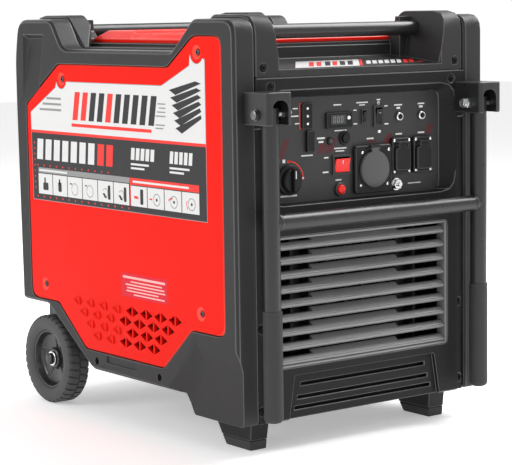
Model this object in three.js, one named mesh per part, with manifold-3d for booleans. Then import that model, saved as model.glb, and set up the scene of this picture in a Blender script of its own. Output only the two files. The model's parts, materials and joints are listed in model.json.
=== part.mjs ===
// Inverter generator with a closed cabinet, rear wheels and a folding pull handle.
// Millimetres, +Z up. The control side faces -Y and +X is to the right when looking at it.
// Every piece is placed in the cabinet group, where y = 0 is the cabinet's front face.

import * as THREE from 'three';
import { mergeVertices } from 'three/addons/utils/BufferGeometryUtils.js';
import { ConvexGeometry } from 'three/addons/geometries/ConvexGeometry.js';
import Module from 'manifold-3d';

const wasm = await Module();
wasm.setup();
const { Manifold, Mesh } = wasm;

// ---------------------------------------------------------------- driving dimensions

const GAP = 0.3;                 // clearance between neighbouring pieces
const LENGTH = 600;              // cabinet, front face to rear face
const HALF = 237;                // half the cabinet's width over the side housings
const HEIGHT = 622;              // top of the side housings
const TOWER_TOP = 628;           // top of the top cover's towers
const SEAM = 539.5;              // joint between the bezels and the top cover
const INNER = 199;               // inner plane of a side housing
const SKIRT = 46;                // lowest edge of the cabinet
const CORE = INNER - 0.6;        // half width of what sits between the side housings
const FLOOR = 84;                // underside of the chassis tray
const DECK = 578;                // top deck between the towers
const WALL = 4;                  // moulded wall thickness

const WHEEL = { y: LENGTH - 75, z: 72, radius: 72, width: 40 };
const AXLE_RADIUS = 8;

const BAR = { y: 71, z: 602, radius: 11 };
const TOWER_INNER = 152;         // inner wall of a tower at the platform

const TUBE = { x: 198.5, y: -31, radius: 12.5, wall: 2 };
const PIVOT_Z = 490;
const CROSSBAR = { z: 338, radius: 12 };
const GRIP = { top: 215, bottom: 55, radius: 14 };
const BRACKET = { inner: 178, outer: 222, depth: 56, bottom: 475, top: 521, wall: 3, fold: 6 };

const RECESS = { half: 181.5, bottom: 356, top: 520, corner: 30 };
const PANEL = { y: 15, half: 158.2, bottom: 357.3, top: 508.7, thickness: 3, corner: 12.7 };

const GRILLE = {
  half: 163, bottom: 122, top: 312, slats: 9, pitch: 20.8, first: 134, tallFrom: -95, tallTo: 70, lowTop: 2.5,
};

// ---------------------------------------------------------------- materials

function paint(color, roughness, metalness = 0) {
  return () => new THREE.MeshStandardMaterial({ color, roughness, metalness });
}

const darkPlastic = paint(0x4a4a4b, 0.55);
const redPlastic = paint(0xf02314, 0.35);
const blackPlastic = paint(0x17171a, 0.5);
const rubber = paint(0x151515, 0.9);
const paintedSteel = paint(0x2b2b2d, 0.45, 0.4);
const bareSteel = paint(0xb4b6b8, 0.3, 1);
const castAluminium = paint(0x9a9c9f, 0.5, 1);
const zincSteel = paint(0x8d9092, 0.4, 1);

// ---------------------------------------------------------------- solids

function signedVolume(positions, index) {
  const [a, b, c] = [new THREE.Vector3(), new THREE.Vector3(), new THREE.Vector3()];
  let sum = 0;
  for (let i = 0; i < index.length; i += 3) {
    a.fromArray(positions, 3 * index[i]);
    b.fromArray(positions, 3 * index[i + 1]);
    c.fromArray(positions, 3 * index[i + 2]);
    sum += a.dot(b.cross(c));
  }
  return sum / 6;
}

// Shared vertices are merged, slivers are dropped and the faces are turned outwards.
function closed(geometry) {
  const bare = geometry.clone();
  bare.deleteAttribute('normal');
  bare.deleteAttribute('uv');
  const merged = mergeVertices(bare, 1e-3);
  const positions = merged.attributes.position.array;
  const index = [];
  for (let i = 0; i < merged.index.count; i += 3) {
    const [a, b, c] = [0, 1, 2].map((k) => merged.index.getX(i + k));
    if (a !== b && b !== c && c !== a) index.push(a, b, c);
  }
  if (signedVolume(positions, index) < 0) index.reverse();
  merged.setIndex(index);
  return merged;
}

function asSolid(geometry) {
  const shape = closed(geometry);
  return new Manifold(new Mesh({
    numProp: 3,
    vertProperties: new Float32Array(shape.attributes.position.array),
    triVerts: new Uint32Array(shape.index.array),
  }));
}

function asGeometry(solid) {
  const mesh = solid.getMesh();
  const geometry = new THREE.BufferGeometry();
  geometry.setAttribute('position', new THREE.BufferAttribute(mesh.vertProperties, 3));
  geometry.setIndex(new THREE.BufferAttribute(mesh.triVerts, 1));
  return geometry;
}

function join(...pieces) {
  return asGeometry(pieces.map(asSolid).reduce((whole, piece) => whole.add(piece)));
}

function cut(base, ...tools) {
  return asGeometry(tools.map(asSolid).reduce((rest, tool) => rest.subtract(tool), asSolid(base)));
}

function mirrored(geometry) {
  return closed(geometry.clone().applyMatrix4(new THREE.Matrix4().makeScale(-1, 1, 1)));
}

function moved(geometry, x, y, z) {
  return geometry.clone().translate(x, y, z);
}

// Directions of a flat outline's two axes and of its extrusion, for each extrusion axis.
const FRAMES = {
  x: [[0, 1, 0], [0, 0, 1], [1, 0, 0]],
  y: [[0, 0, 1], [1, 0, 0], [0, 1, 0]],
  z: [[1, 0, 0], [0, 1, 0], [0, 0, 1]],
};

function frameOf(axis) {
  const [u, v, w] = FRAMES[axis].map((direction) => new THREE.Vector3(...direction));
  return new THREE.Matrix4().makeBasis(u, v, w);
}

// Points are [a, b] or [a, b, corner radius]; a corner becomes a short curve.
function outline(points) {
  const shape = new THREE.Shape();
  const count = points.length;
  points.forEach(([a, b, radius = 0], i) => {
    const here = new THREE.Vector2(a, b);
    const towards = (other) => new THREE.Vector2(other[0], other[1]).sub(here);
    const back = towards(points[(i + count - 1) % count]);
    const ahead = towards(points[(i + 1) % count]);
    const start = here.clone().addScaledVector(back.normalize(), radius);
    const end = here.clone().addScaledVector(ahead.normalize(), radius);
    if (i === 0) shape.moveTo(start.x, start.y);
    else shape.lineTo(start.x, start.y);
    if (radius > 0) shape.quadraticCurveTo(a, b, end.x, end.y);
  });
  shape.closePath();
  return shape;
}

// Moves every edge of an outline outwards by a distance, or inwards when it is negative.
function grown(points, distance) {
  const area = points.reduce((sum, [a, b], i) => {
    const [c, d] = points[(i + 1) % points.length];
    return sum + a * d - b * c;
  }, 0);
  const side = Math.sign(area) * distance;
  const unit = (from, to) => new THREE.Vector2(to[0] - from[0], to[1] - from[1]).normalize();
  return points.map((here, i) => {
    const before = unit(points[(i + points.length - 1) % points.length], here);
    const after = unit(here, points[(i + 1) % points.length]);
    const cosine = before.dot(after);
    const scale = side / (1 + cosine);
    const shiftA = (before.y + after.y) * scale;
    const shiftB = -(before.x + after.x) * scale;
    return [here[0] + shiftA, here[1] + shiftB, here[2]];
  });
}

// A prism of an outline between two stations on an axis, with optional chamfered ends.
// Outline coordinates are (y, z) for x, (z, x) for y and (x, y) for z.
function prism(axis, points, from, to, { chamfer = 0, curve = 3 } = {}) {
  const geometry = new THREE.ExtrudeGeometry(outline(points), {
    depth: to - from - 2 * chamfer,
    curveSegments: curve,
    bevelEnabled: chamfer > 0,
    bevelThickness: chamfer,
    bevelSize: chamfer,
    bevelOffset: -chamfer,
    bevelSegments: 1,
  });
  geometry.translate(0, 0, from + chamfer);
  return closed(geometry.applyMatrix4(frameOf(axis)));
}

// The front view of a piece: its outline is given as (x, z).
function plate(points, front, back, options) {
  return prism('y', points.map(([x, z, radius]) => [z, x, radius]), front, back, options);
}

function rectangle(left, right, bottom, top, radius = 0) {
  return [
    [left, bottom, radius],
    [right, bottom, radius],
    [right, top, radius],
    [left, top, radius],
  ];
}

function box(x0, x1, y0, y1, z0, z1) {
  const geometry = new THREE.BoxGeometry(x1 - x0, y1 - y0, z1 - z0);
  return geometry.translate((x0 + x1) / 2, (y0 + y1) / 2, (z0 + z1) / 2);
}

// A turned piece: the profile is [radius, station] and the axis passes through (a, b),
// which are (y, z) for x, (x, z) for y and (x, y) for z.
function turned(axis, profile, a = 0, b = 0, segments = 24) {
  const points = profile.map(([radius, station]) => new THREE.Vector2(radius, station));
  const geometry = new THREE.LatheGeometry(points, segments);
  geometry.rotateX(Math.PI / 2);
  geometry.applyMatrix4(frameOf(axis));
  const places = { x: [0, a, b], y: [a, 0, b], z: [a, b, 0] };
  return closed(geometry.translate(...places[axis]));
}

function rod(axis, radius, from, to, a = 0, b = 0, segments = 16) {
  return turned(axis, [[0, from], [radius, from], [radius, to], [0, to]], a, b, segments);
}

// A straight-sided body between two rectangles [x0, x1, z0, z1, corner] at two y stations.
function funnel(front, yFront, back, yBack) {
  const corners = (border, y) => (
    outline(rectangle(...border)).getPoints(3).map((point) => new THREE.Vector3(point.x, y, point.y)));
  return closed(new ConvexGeometry([...corners(front, yFront), ...corners(back, yBack)]));
}

// The same between two level rectangles [x0, x1, y0, y1] at two heights.
function taper(low, zLow, high, zHigh) {
  const corners = ([x0, x1, y0, y1], z) => [
    new THREE.Vector3(x0, y0, z),
    new THREE.Vector3(x1, y0, z),
    new THREE.Vector3(x1, y1, z),
    new THREE.Vector3(x0, y1, z),
  ];
  return closed(new ConvexGeometry([...corners(low, zLow), ...corners(high, zHigh)]));
}

// ---------------------------------------------------------------- assembly

const generator = new THREE.Group();
const cabinet = new THREE.Group();
cabinet.position.y = -(LENGTH - BRACKET.depth) / 2;
generator.add(cabinet);

function add(name, material, geometry) {
  const mesh = new THREE.Mesh(geometry, material());
  mesh.name = name;
  cabinet.add(mesh);
  return mesh;
}

function addPair(name, material, geometry) {
  add(`${name}_right`, material, geometry);
  add(`${name}_left`, material, mirrored(geometry));
}

// ---------------------------------------------------------------- side housings and panels

const NOTCH = { floor: 576, front: 152, rear: 452 };

// Side view (y, z) of the housing: front tower, notch, rear tower, wheel arch, front toe.
const HOUSING = [
  [0, SKIRT, 8],
  [0, HEIGHT, 24],
  [100, HEIGHT, 8],
  [NOTCH.front, NOTCH.floor, 6],
  [NOTCH.rear, NOTCH.floor, 16],
  [NOTCH.rear + 32, HEIGHT, 12],
  [LENGTH - 12, HEIGHT, 22],
  [LENGTH, HEIGHT - 62, 20],
  [LENGTH, 480, 20],
  [LENGTH - 6, 165, 6],
  [LENGTH - 83, 165, 8],
  [386, 76, 8],
  [138, 76, 3],
  [120, SKIRT, 4],
];

const SIDE_PANEL = [
  [30, 173, 18],
  [30, 598, 18],
  [98, 598, 10],
  [163, 552, 6],
  [466, 552, 6],
  [565, 487, 8],
  [563, 172, 18],
  [482, 172, 6],
  [402, 107, 6],
  [186, 107, 6],
  [112, 173, 6],
];

const FACE = 14;                 // thickness of the housing's outer face
const EDGE = 4.6;                  // chamfer around the outer face
const POCKET = HALF - 7;         // floor of the pocket that holds the side panel

function sideHousing() {
  const slab = join(
    prism('x', HOUSING, INNER, HALF - 10, { chamfer: 3.3, curve: 4 }),
    prism('x', HOUSING, HALF - 24, HALF, { chamfer: EDGE, curve: 4 }),
  );
  const channel = prism('x', grown(HOUSING, -5), INNER - 1, HALF - FACE);
  const pocket = prism('x', grown(SIDE_PANEL, 1), POCKET, HALF + 1);
  const window = prism('x', grown(SIDE_PANEL, -14), HALF - FACE - 1, HALF);
  // The front toe steps inwards behind a slanted band.
  const toe = closed(new ConvexGeometry([
    ...[[-20, 156], [98, 153], [178, 78], [178, 30], [-20, 30]]
      .map(([y, z]) => new THREE.Vector3(HALF + 0.1, y, z)),
    ...[[-20, 124], [84, 124], [130, 82], [130, 30], [-20, 30]]
      .map(([y, z]) => new THREE.Vector3(HALF - 9, y, z)),
  ]));
  const gripScoop = closed(new ConvexGeometry([
    ...[[508, 598], [570, 598], [574, 500], [530, 480]]
      .map(([y, z]) => new THREE.Vector3(HALF + 0.1, y, z)),
    ...[[514, 592], [564, 592], [562, 575], [518, 575]]
      .map(([y, z]) => new THREE.Vector3(HALF - 8, y, z)),
  ]));
  const railPocket = box(HALF - 2, HALF + 1, 256, 342, 92, 103.5);
  const screwWells = [[371, 91], [198, 91]].map(([y, z]) => (
    rod('x', 6, HALF - 5, HALF + 1, y, z, 12)));
  return cut(slab, channel, pocket, window, toe, gripScoop, railPocket, ...screwWells);
}

const VENTS = { rows: 4, pairs: 8, y: 154, z: 181.5, pitch: 38, rowPitch: 16.6, inner: 1.6, outer: 17, half: 7.8 };

// Vents are triangles in back-to-back pairs, row under row; those in the front half go through.
function ventTriangles(face, back) {
  const tools = [];
  for (let row = 0; row < VENTS.rows; row += 1) {
    const z = VENTS.z - VENTS.rowPitch * row;
    for (let k = 0; k < VENTS.pairs - row; k += 1) {
      const y = VENTS.y + VENTS.pitch * (k + row / 2);
      const depth = y < LENGTH / 2 ? back - 1 : face - 2;
      for (const way of [-1, 1]) {
        tools.push(prism('x', [
          [y + way * VENTS.outer, z],
          [y + way * VENTS.inner, z + VENTS.half],
          [y + way * VENTS.inner, z - VENTS.half],
        ], depth, face + 1));
      }
    }
  }
  return tools;
}

const PANEL_SCREWS = [[456, 529], [88, 575], [521, 197], [88, 200]];

function sidePanel() {
  const face = HALF - 0.5;
  const back = POCKET + GAP;
  const sheet = prism('x', SIDE_PANEL, back, face, { chamfer: 2 });
  const dimples = PANEL_SCREWS.map(([y, z]) => (
    turned('x', [[0, face - 3], [6, face - 3], [12, face + 1], [0, face + 1]], y, z, 20)));
  return cut(sheet, ...ventTriangles(face, back), ...dimples);
}

addPair('side_housing', darkPlastic, sideHousing());
addPair('side_panel', redPlastic, sidePanel());

// ---------------------------------------------------------------- top cover, lid, bars

const LIP = 549;                 // front edge of the platform
const STEP = { y: 104, z: 561 }; // foot of the wall behind the platform
const NECK = { x: 0, y: LENGTH / 2, radius: 27 };

const BAR_REACH = TOWER_INNER + 14;

// A gusset behind each end of a carry bar, standing on the platform.
function barGusset(place) {
  const back = BAR.y + BAR.radius + GAP;
  const profile = [
    [back, 557],
    [back, 620],
    [back + 11, 620],
    [back + 13, 602],
    [back + 27, 590],
    [back + 27, 557],
  ];
  return prism('x', profile.map(([y, z]) => [place(y), z]), TOWER_INNER - 10, TOWER_INNER + 12);
}

function topCover() {
  const sheet = prism('x', [
    [2, SEAM],
    [2, LIP],
    [STEP.y, STEP.z],
    [STEP.y, DECK],
    [LENGTH - STEP.y, DECK],
    [LENGTH - STEP.y, STEP.z],
    [LENGTH - 2, LIP],
    [LENGTH - 2, SEAM],
    [LENGTH - 2 - WALL, SEAM],
    [LENGTH - 2 - WALL, LIP - WALL],
    [LENGTH - STEP.y - WALL, STEP.z - WALL],
    [LENGTH - STEP.y - WALL, DECK - WALL],
    [STEP.y + WALL, DECK - WALL],
    [STEP.y + WALL, STEP.z - WALL],
    [2 + WALL, LIP - WALL],
    [2 + WALL, SEAM],
  ], -TOWER_INNER - 3, TOWER_INNER + 3);
  const tower = [[3, SEAM], [3, TOWER_TOP, 30], [104, TOWER_TOP, 8], [152, DECK, 4], [152, SEAM]];
  const room = [[3, SEAM], [3, TOWER_TOP, 30], [100, TOWER_TOP], [100, SEAM]];
  const corner = [[TOWER_INNER - 1, 103], [TOWER_INNER - 1, 153], [TOWER_INNER + 38.5, 153]];
  const pieces = [sheet];
  for (const place of [(y) => y, (y) => LENGTH - y]) {
    const placed = (profile) => profile.map(([y, z, radius]) => [place(y), z, radius]);
    const gusset = barGusset(place);
    pieces.push(gusset, mirrored(gusset));
    const block = prism('x', placed(tower), TOWER_INNER, CORE, { chamfer: 3 });
    const hollow = prism('x', grown(placed(room), -WALL), TOWER_INNER + 17, CORE - WALL);
    const below = moved(hollow, 0, 0, -2 * WALL);
    // The inner rear corner of a tower is cut off slantwise above the deck.
    const slant = prism('z', corner.map(([x, y]) => [x, place(y)]), DECK, TOWER_TOP + 2);
    const draft = prism('y', [
      [STEP.z - 8, TOWER_INNER - 10],
      [TOWER_TOP + 2, TOWER_INNER - 10],
      [TOWER_TOP + 2, TOWER_INNER + 14],
      [STEP.z - 8, TOWER_INNER],
    ], -1, LENGTH + 1);
    const shell = cut(block, hollow, below, draft, slant);
    pieces.push(shell, mirrored(shell));
  }
  const ledge = box(TOWER_INNER, CORE, 156, LENGTH - 156, DECK - WALL, DECK);
  const plinth = prism('z', rectangle(-166, 166, STEP.y + 2, LENGTH - STEP.y - 2, 12), DECK - WALL, 583.7);
  const body = join(...pieces, ledge, mirrored(ledge), plinth);
  const neckHole = rod('z', NECK.radius + 4, DECK - 10, 590, NECK.x, NECK.y, 20);
  const wells = [182.5, -182.5].map((x) => rod('y', 6.5, 2, 5.5, x, 552.5, 14));
  const sockets = [BAR.y, LENGTH - BAR.y].map((y) => (
    rod('x', BAR.radius + GAP, -BAR_REACH - GAP, BAR_REACH + GAP, y, BAR.z, 18)));
  return cut(body, neckHole, ...wells, ...sockets);
}

add('top_cover', darkPlastic, topCover());

const LID = { half: 155, front: STEP.y + 8, low: 584, shoulder: 590, frontTop: 597, rearTop: 603 };

function topLid() {
  const back = LENGTH - LID.front;
  const edge = [-LID.half, LID.half, LID.front, back];
  const rim = taper(edge, LID.low, edge, LID.shoulder);
  const crown = taper(
    edge, LID.shoulder,
    [-LID.half + 14, LID.half - 14, LID.front + 18, back - 16], LID.frontTop,
  );
  const hump = taper(
    [-LID.half, LID.half, back - 108, back], LID.shoulder,
    [-LID.half + 18, LID.half - 18, back - 96, back - 18], LID.rearTop,
  );
  const well = rod('z', 44, LID.shoulder, LID.rearTop + 1, NECK.x, NECK.y, 24);
  const neckHole = rod('z', NECK.radius + 4, LID.low - 1, LID.rearTop, NECK.x, NECK.y, 20);
  return cut(join(rim, crown, hump), well, neckHole);
}

add('top_lid', redPlastic, topLid());

add('fuel_cap', blackPlastic, turned('z', [
  [0, 572],
  [NECK.radius - 4, 572],
  [NECK.radius - 4, 590.6],
  [36, 590.6],
  [38, 593],
  [38, 602],
  [35, 605],
  [0, 606],
], NECK.x, NECK.y, 20));

function carryBar(y) {
  return rod('x', BAR.radius, -BAR_REACH, BAR_REACH, y, BAR.z, 18);
}

add('carry_bar_front', paintedSteel, carryBar(BAR.y));
add('carry_bar_rear', paintedSteel, carryBar(LENGTH - BAR.y));

// ---------------------------------------------------------------- front bezel, panel, grille

const BEZEL = { depth: 20, top: SEAM - GAP - 0.5 };
const INTAKE = { top: 110, halfTop: 135, halfBottom: 146, back: 150 };
const STRIP = { inner: 184.5, depth: 5, top: 468 };

function frontBezel() {
  const slab = plate(rectangle(-CORE, CORE, SKIRT, BEZEL.top, 2), 0, BEZEL.depth, { chamfer: 1.5 });
  const { half, bottom, top } = RECESS;
  const panelOpening = [
    -PANEL.half - GAP, PANEL.half + GAP, PANEL.bottom - GAP, PANEL.top + GAP, PANEL.corner + GAP,
  ];
  const recess = funnel([-half, half, bottom, top, RECESS.corner], -0.1, panelOpening, PANEL.y);
  const recessFloor = funnel(panelOpening, PANEL.y - 1, panelOpening, BEZEL.depth + 1);
  const recessWall = plate(rectangle(-half - WALL, half + WALL, bottom - WALL, top + WALL), -1, BEZEL.depth + 2);
  const grilleHole = plate(rectangle(-GRILLE.half, GRILLE.half, GRILLE.bottom, GRILLE.top, 6), -1, 30);
  const grilleWall = plate(rectangle(-GRILLE.half - 3, GRILLE.half + 3, GRILLE.bottom - 3, GRILLE.top + 3), -1, 30);
  const intakeOutline = [
    [-INTAKE.halfBottom, SKIRT - 2],
    [-INTAKE.halfTop, INTAKE.top, 4],
    [INTAKE.halfTop, INTAKE.top, 4],
    [INTAKE.halfBottom, SKIRT - 2],
  ];
  const intake = plate(intakeOutline, -1, 6);
  const intakeWall = plate(rectangle(-INTAKE.halfBottom - 4, INTAKE.halfBottom + 4, SKIRT, INTAKE.top + 4), -1, 10);
  const intakeBack = box(-INTAKE.back, INTAKE.back, BEZEL.depth - WALL, BEZEL.depth + 1, SKIRT, 106);
  // A shallow strip runs down each side, with the lower screws in it.
  const strip = box(STRIP.inner, CORE + 1, -1, STRIP.depth, SKIRT - 1, STRIP.top);
  const stripWall = box(STRIP.inner - WALL, CORE + 1, -1, STRIP.depth + WALL, SKIRT, STRIP.top + WALL);
  const hollow = cut(
    box(-CORE + WALL, CORE - WALL, WALL, BEZEL.depth + 1, SKIRT + WALL, BEZEL.top - WALL),
    recessWall,
    grilleWall,
    intakeWall,
    intakeBack,
    stripWall,
    mirrored(stripWall),
  );
  const slots = [95, 76, 61].map((z, i) => (
    plate(rectangle(-120 - 6 * i, 120 + 6 * i, z - 2.5, z + 2.5), -1, 14)));
  const wells = [[172, 526, 3], [190, 183, 8], [191, 64, 8]].flatMap(([x, z, bottomY]) => [
    rod('y', 6.5, -1, bottomY, x, z, 14),
    rod('y', 6.5, -1, bottomY, -x, z, 14),
  ]);
  return cut(slab, recess, recessFloor, grilleHole, intake, hollow, strip, mirrored(strip), ...slots, ...wells);
}

add('front_bezel', darkPlastic, frontBezel());

// Each slat leans back as it rises, and its middle stretch stands taller than its ends.
function frontGrille() {
  const half = GRILLE.half - GAP;
  const slatProfile = [[-2, 7], [0.5, 8.5], [13, -5.5], [11.5, -8], [-2, 3]];
  const slats = [];
  for (let i = 0; i < GRILLE.slats; i += 1) {
    const z = GRILLE.first + i * GRILLE.pitch;
    const slat = prism('x', slatProfile.map(([y, dz]) => [y + 4, z - dz]), -half + 4, half - 4);
    slats.push(cut(
      slat,
      box(-half, GRILLE.tallFrom, 0, 20, z + GRILLE.lowTop, z + 20),
      box(GRILLE.tallTo, half, 0, 20, z + GRILLE.lowTop, z + 20),
    ));
  }
  const rim = plate(rectangle(-half, half, GRILLE.bottom + GAP, GRILLE.top - GAP, 5), 1, 18);
  const inside = box(-half + 5, half - 5, 0, 20, GRILLE.bottom + 4, GRILLE.top - 4);
  return join(cut(rim, inside), ...slats);
}

add('front_grille', darkPlastic, frontGrille());

// ---------------------------------------------------------------- controls

const DIAL = { x: -131, z: 391, radius: 22 };
const ROCKERS = {
  engine_switch: { x: -33.3, z: 407.5, width: 27, height: 20, rim: 3.2, material: redPlastic },
  economy_switch: { x: 38.5, z: 475, width: 12, height: 22, rim: 3.5, material: blackPlastic },
  parallel_switch: { x: 10.5, z: 476, width: 6, height: 14, rim: 2, material: blackPlastic },
};
const BUTTONS = {
  start_button: { x: -36.5, z: 371.5, radius: 7, travel: 3, material: redPlastic },
  breaker_button_left: { x: 78.8, z: 472.3, radius: 3.6, travel: 2.5, material: blackPlastic },
  breaker_button_right: { x: 122.9, z: 472.3, radius: 3.6, travel: 2.5, material: blackPlastic },
};
const MAIN_SOCKET = { x: 24, z: 398, half: 35.5, well: 21 };
const SMALL_SOCKETS = { socket_left: 79, socket_right: 121.5 };
const SMALL = { z: 414, halfWidth: 18.5, halfHeight: 27, wellX: 12, wellZ: 15, wellDrop: 4 };
const EARTH = { x: 71, z: 372 };
const DISPLAY = { x: -38, z: 472.5, halfWidth: 24.5, halfHeight: 11.5 };
const INDICATORS = { x: -97, z: 481, halfWidth: 9.5, halfHeight: 19 };
const OUTLET = { x: -27, z: 446, radius: 10.5 };
const COMMS = { x: -92.5, z: 444.5, halfWidth: 7, halfHeight: 15.5 };

const FLUSH = PANEL.y - GAP;     // back face of what rests on the control panel

function controlPanel() {
  const border = rectangle(-PANEL.half, PANEL.half, PANEL.bottom, PANEL.top, PANEL.corner);
  const sheet = plate(border, PANEL.y, PANEL.y + PANEL.thickness);
  const surrounds = [];
  const holes = [];
  for (const { x, z, width, height, rim } of Object.values(ROCKERS)) {
    const [w, h] = [width / 2 + 0.6, height / 2 + 1.4];
    surrounds.push(plate(rectangle(x - w - rim, x + w + rim, z - h - rim, z + h + rim), PANEL.y - 3, PANEL.y + 1));
    holes.push(box(x - w, x + w, PANEL.y - 4, PANEL.y + 10, z - h, z + h));
  }
  for (const { x, z, radius } of Object.values(BUTTONS)) {
    surrounds.push(rod('y', radius + 3, PANEL.y - 3, PANEL.y + 1, x, z, 16));
    holes.push(rod('y', radius + 0.6, PANEL.y - 4, PANEL.y + 10, x, z, 16));
  }
  holes.push(rod('y', 4.4, PANEL.y - 4, PANEL.y + 10, DIAL.x, DIAL.z, 12));
  holes.push(rod('y', 27, PANEL.y - 4, PANEL.y + 10, MAIN_SOCKET.x, MAIN_SOCKET.z, 20));
  for (const x of Object.values(SMALL_SOCKETS)) {
    holes.push(box(x - 15, x + 15, PANEL.y - 4, PANEL.y + 10, SMALL.z - 22, SMALL.z + 14));
  }
  return cut(join(sheet, ...surrounds), ...holes);
}

add('control_panel', blackPlastic, controlPanel());

function selectorDial() {
  const knob = turned('y', [
    [0, 2.5],
    [15.5, 2.5],
    [18, 5],
    [18, 9],
    [DIAL.radius, 10],
    [DIAL.radius, 14],
    [4, 14],
    [4, 22],
    [0, 22],
  ], DIAL.x, DIAL.z, 24);
  const fin = box(DIAL.x - 4, DIAL.x + 4, -3, 6, DIAL.z - 17, DIAL.z + 17);
  return join(knob, fin);
}

add('selector_dial', blackPlastic, selectorDial());

// A rocker's paddle, tipped so that its upper half stands proud; it turns about an X axis.
const ROCKER_TIP = THREE.MathUtils.degToRad(8);
const ROCKER_AXIS = PANEL.y + 1;

function rockerPaddle(x, z, width, height) {
  const h = height / 2;
  const paddle = prism('x', [[-6, h], [-4.6, 0], [-6, -h], [3, -h * 0.7], [3, h * 0.7]], -width / 2, width / 2);
  return closed(paddle.rotateX(ROCKER_TIP).translate(x, ROCKER_AXIS, z));
}

for (const [name, { x, z, width, height, material }] of Object.entries(ROCKERS)) {
  add(name, material, rockerPaddle(x, z, width, height));
}

for (const [name, { x, z, radius, material }] of Object.entries(BUTTONS)) {
  add(name, material, turned('y', [
    [0, PANEL.y - 7],
    [radius - 1.2, PANEL.y - 7],
    [radius, PANEL.y - 5.8],
    [radius, PANEL.y + 4],
    [0, PANEL.y + 4],
  ], x, z, 16));
}

// Each socket is a flange with a well, and a lid whose pin turns in two ears above the well.
const SOCKET_FACE = PANEL.y - 7;
const HINGE = { y: SOCKET_FACE - 3, pin: 1, ear: 2.4 };
const MAIN_AXIS = MAIN_SOCKET.z + 30.5;
const SMALL_AXIS = SMALL.z + 16;

function hingeEars(x, axis, halfWidth) {
  const reach = halfWidth + GAP + HINGE.ear;
  const block = box(x - reach, x + reach, HINGE.y - 2, SOCKET_FACE + 1, axis - 2, axis + 5);
  const middle = box(
    x - halfWidth - GAP, x + halfWidth + GAP,
    HINGE.y - 3, SOCKET_FACE, axis - 3, axis + 2.6,
  );
  const pinHole = rod('x', HINGE.pin + 0.3, x - reach - 1, x + reach + 1, HINGE.y, axis, 8);
  return cut(block, middle, pinHole);
}

function hingeArm(x, axis, halfWidth, bottom) {
  const reach = halfWidth + HINGE.ear;
  return join(
    box(x - halfWidth, x + halfWidth, HINGE.y - 1.5, HINGE.y + 1.5, bottom, axis + 1.4),
    rod('x', HINGE.pin, x - reach, x + reach, HINGE.y, axis, 8),
  );
}

function mainSocket() {
  const { x, z, half, well } = MAIN_SOCKET;
  const flange = plate(rectangle(x - half, x + half, z - half, z + half, 5), SOCKET_FACE, FLUSH, { chamfer: 1.5 });
  const barrel = rod('y', well + 4, FLUSH - 1, PANEL.y + 30, x, z, 20);
  const hollow = rod('y', well, SOCKET_FACE - 1, PANEL.y + 26, x, z, 20);
  return cut(join(flange, barrel, hingeEars(x, MAIN_AXIS, 7)), hollow);
}

function mainLid() {
  const { x, z } = MAIN_SOCKET;
  const disc = turned('y', [
    [0, SOCKET_FACE - 7],
    [20, SOCKET_FACE - 6.4],
    [27, SOCKET_FACE - 4],
    [28, SOCKET_FACE - GAP],
    [0, SOCKET_FACE - GAP],
  ], x, z, 24);
  return join(disc, hingeArm(x, MAIN_AXIS, 7, z + 24));
}

function smallSocket(x) {
  const { z, halfWidth, halfHeight, wellX, wellZ, wellDrop } = SMALL;
  const flange = plate(
    rectangle(x - halfWidth, x + halfWidth, z - halfHeight, z + halfHeight, 4),
    SOCKET_FACE, FLUSH, { chamfer: 1.2 },
  );
  const centre = z - wellDrop;
  const back = box(x - wellX - 2, x + wellX + 2, FLUSH - 1, PANEL.y + 26, centre - wellZ - 2, centre + wellZ + 2);
  const hollow = box(x - wellX, x + wellX, SOCKET_FACE - 1, PANEL.y + 22, centre - wellZ, centre + wellZ);
  return cut(join(flange, back, hingeEars(x, SMALL_AXIS, 8)), hollow);
}

function smallLid(x) {
  const centre = SMALL.z - SMALL.wellDrop;
  const flap = plate(
    rectangle(x - SMALL.wellX - 3, x + SMALL.wellX + 3, centre - SMALL.wellZ - 3, centre + SMALL.wellZ + 1.8, 5),
    SOCKET_FACE - 4.5, SOCKET_FACE - GAP, { chamfer: 1.2 },
  );
  return join(flap, hingeArm(x, SMALL_AXIS, 8, centre + SMALL.wellZ));
}

add('main_socket', blackPlastic, mainSocket());
add('main_socket_lid', blackPlastic, mainLid());
for (const [name, x] of Object.entries(SMALL_SOCKETS)) {
  add(name, blackPlastic, smallSocket(x));
  add(`${name}_lid`, blackPlastic, smallLid(x));
}

add('earth_terminal', bareSteel, turned('y', [
  [0, 2],
  [3.5, 2.6],
  [3.5, 6],
  [7, 6.5],
  [8, 8],
  [8, 11],
  [9.5, 11.4],
  [9.5, FLUSH],
  [0, FLUSH],
], EARTH.x, EARTH.z, 12));

function flatBlock({ x, z, halfWidth, halfHeight }, thickness, corner) {
  const border = rectangle(x - halfWidth, x + halfWidth, z - halfHeight, z + halfHeight, corner);
  return plate(border, FLUSH - thickness, FLUSH, { chamfer: 0.8 });
}

add('display', blackPlastic, flatBlock(DISPLAY, 4, 1.5));
add('indicator_block', blackPlastic, flatBlock(INDICATORS, 3, 2));
add('comms_port', blackPlastic, flatBlock(COMMS, 5, 1.5));

add('dc_outlet', blackPlastic, turned('y', [
  [0, 9],
  [7, 9],
  [8, 10],
  [8, 12.5],
  [OUTLET.radius, 13],
  [OUTLET.radius, FLUSH],
  [0, FLUSH],
], OUTLET.x, OUTLET.z, 16));

// ---------------------------------------------------------------- pull handle

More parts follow.
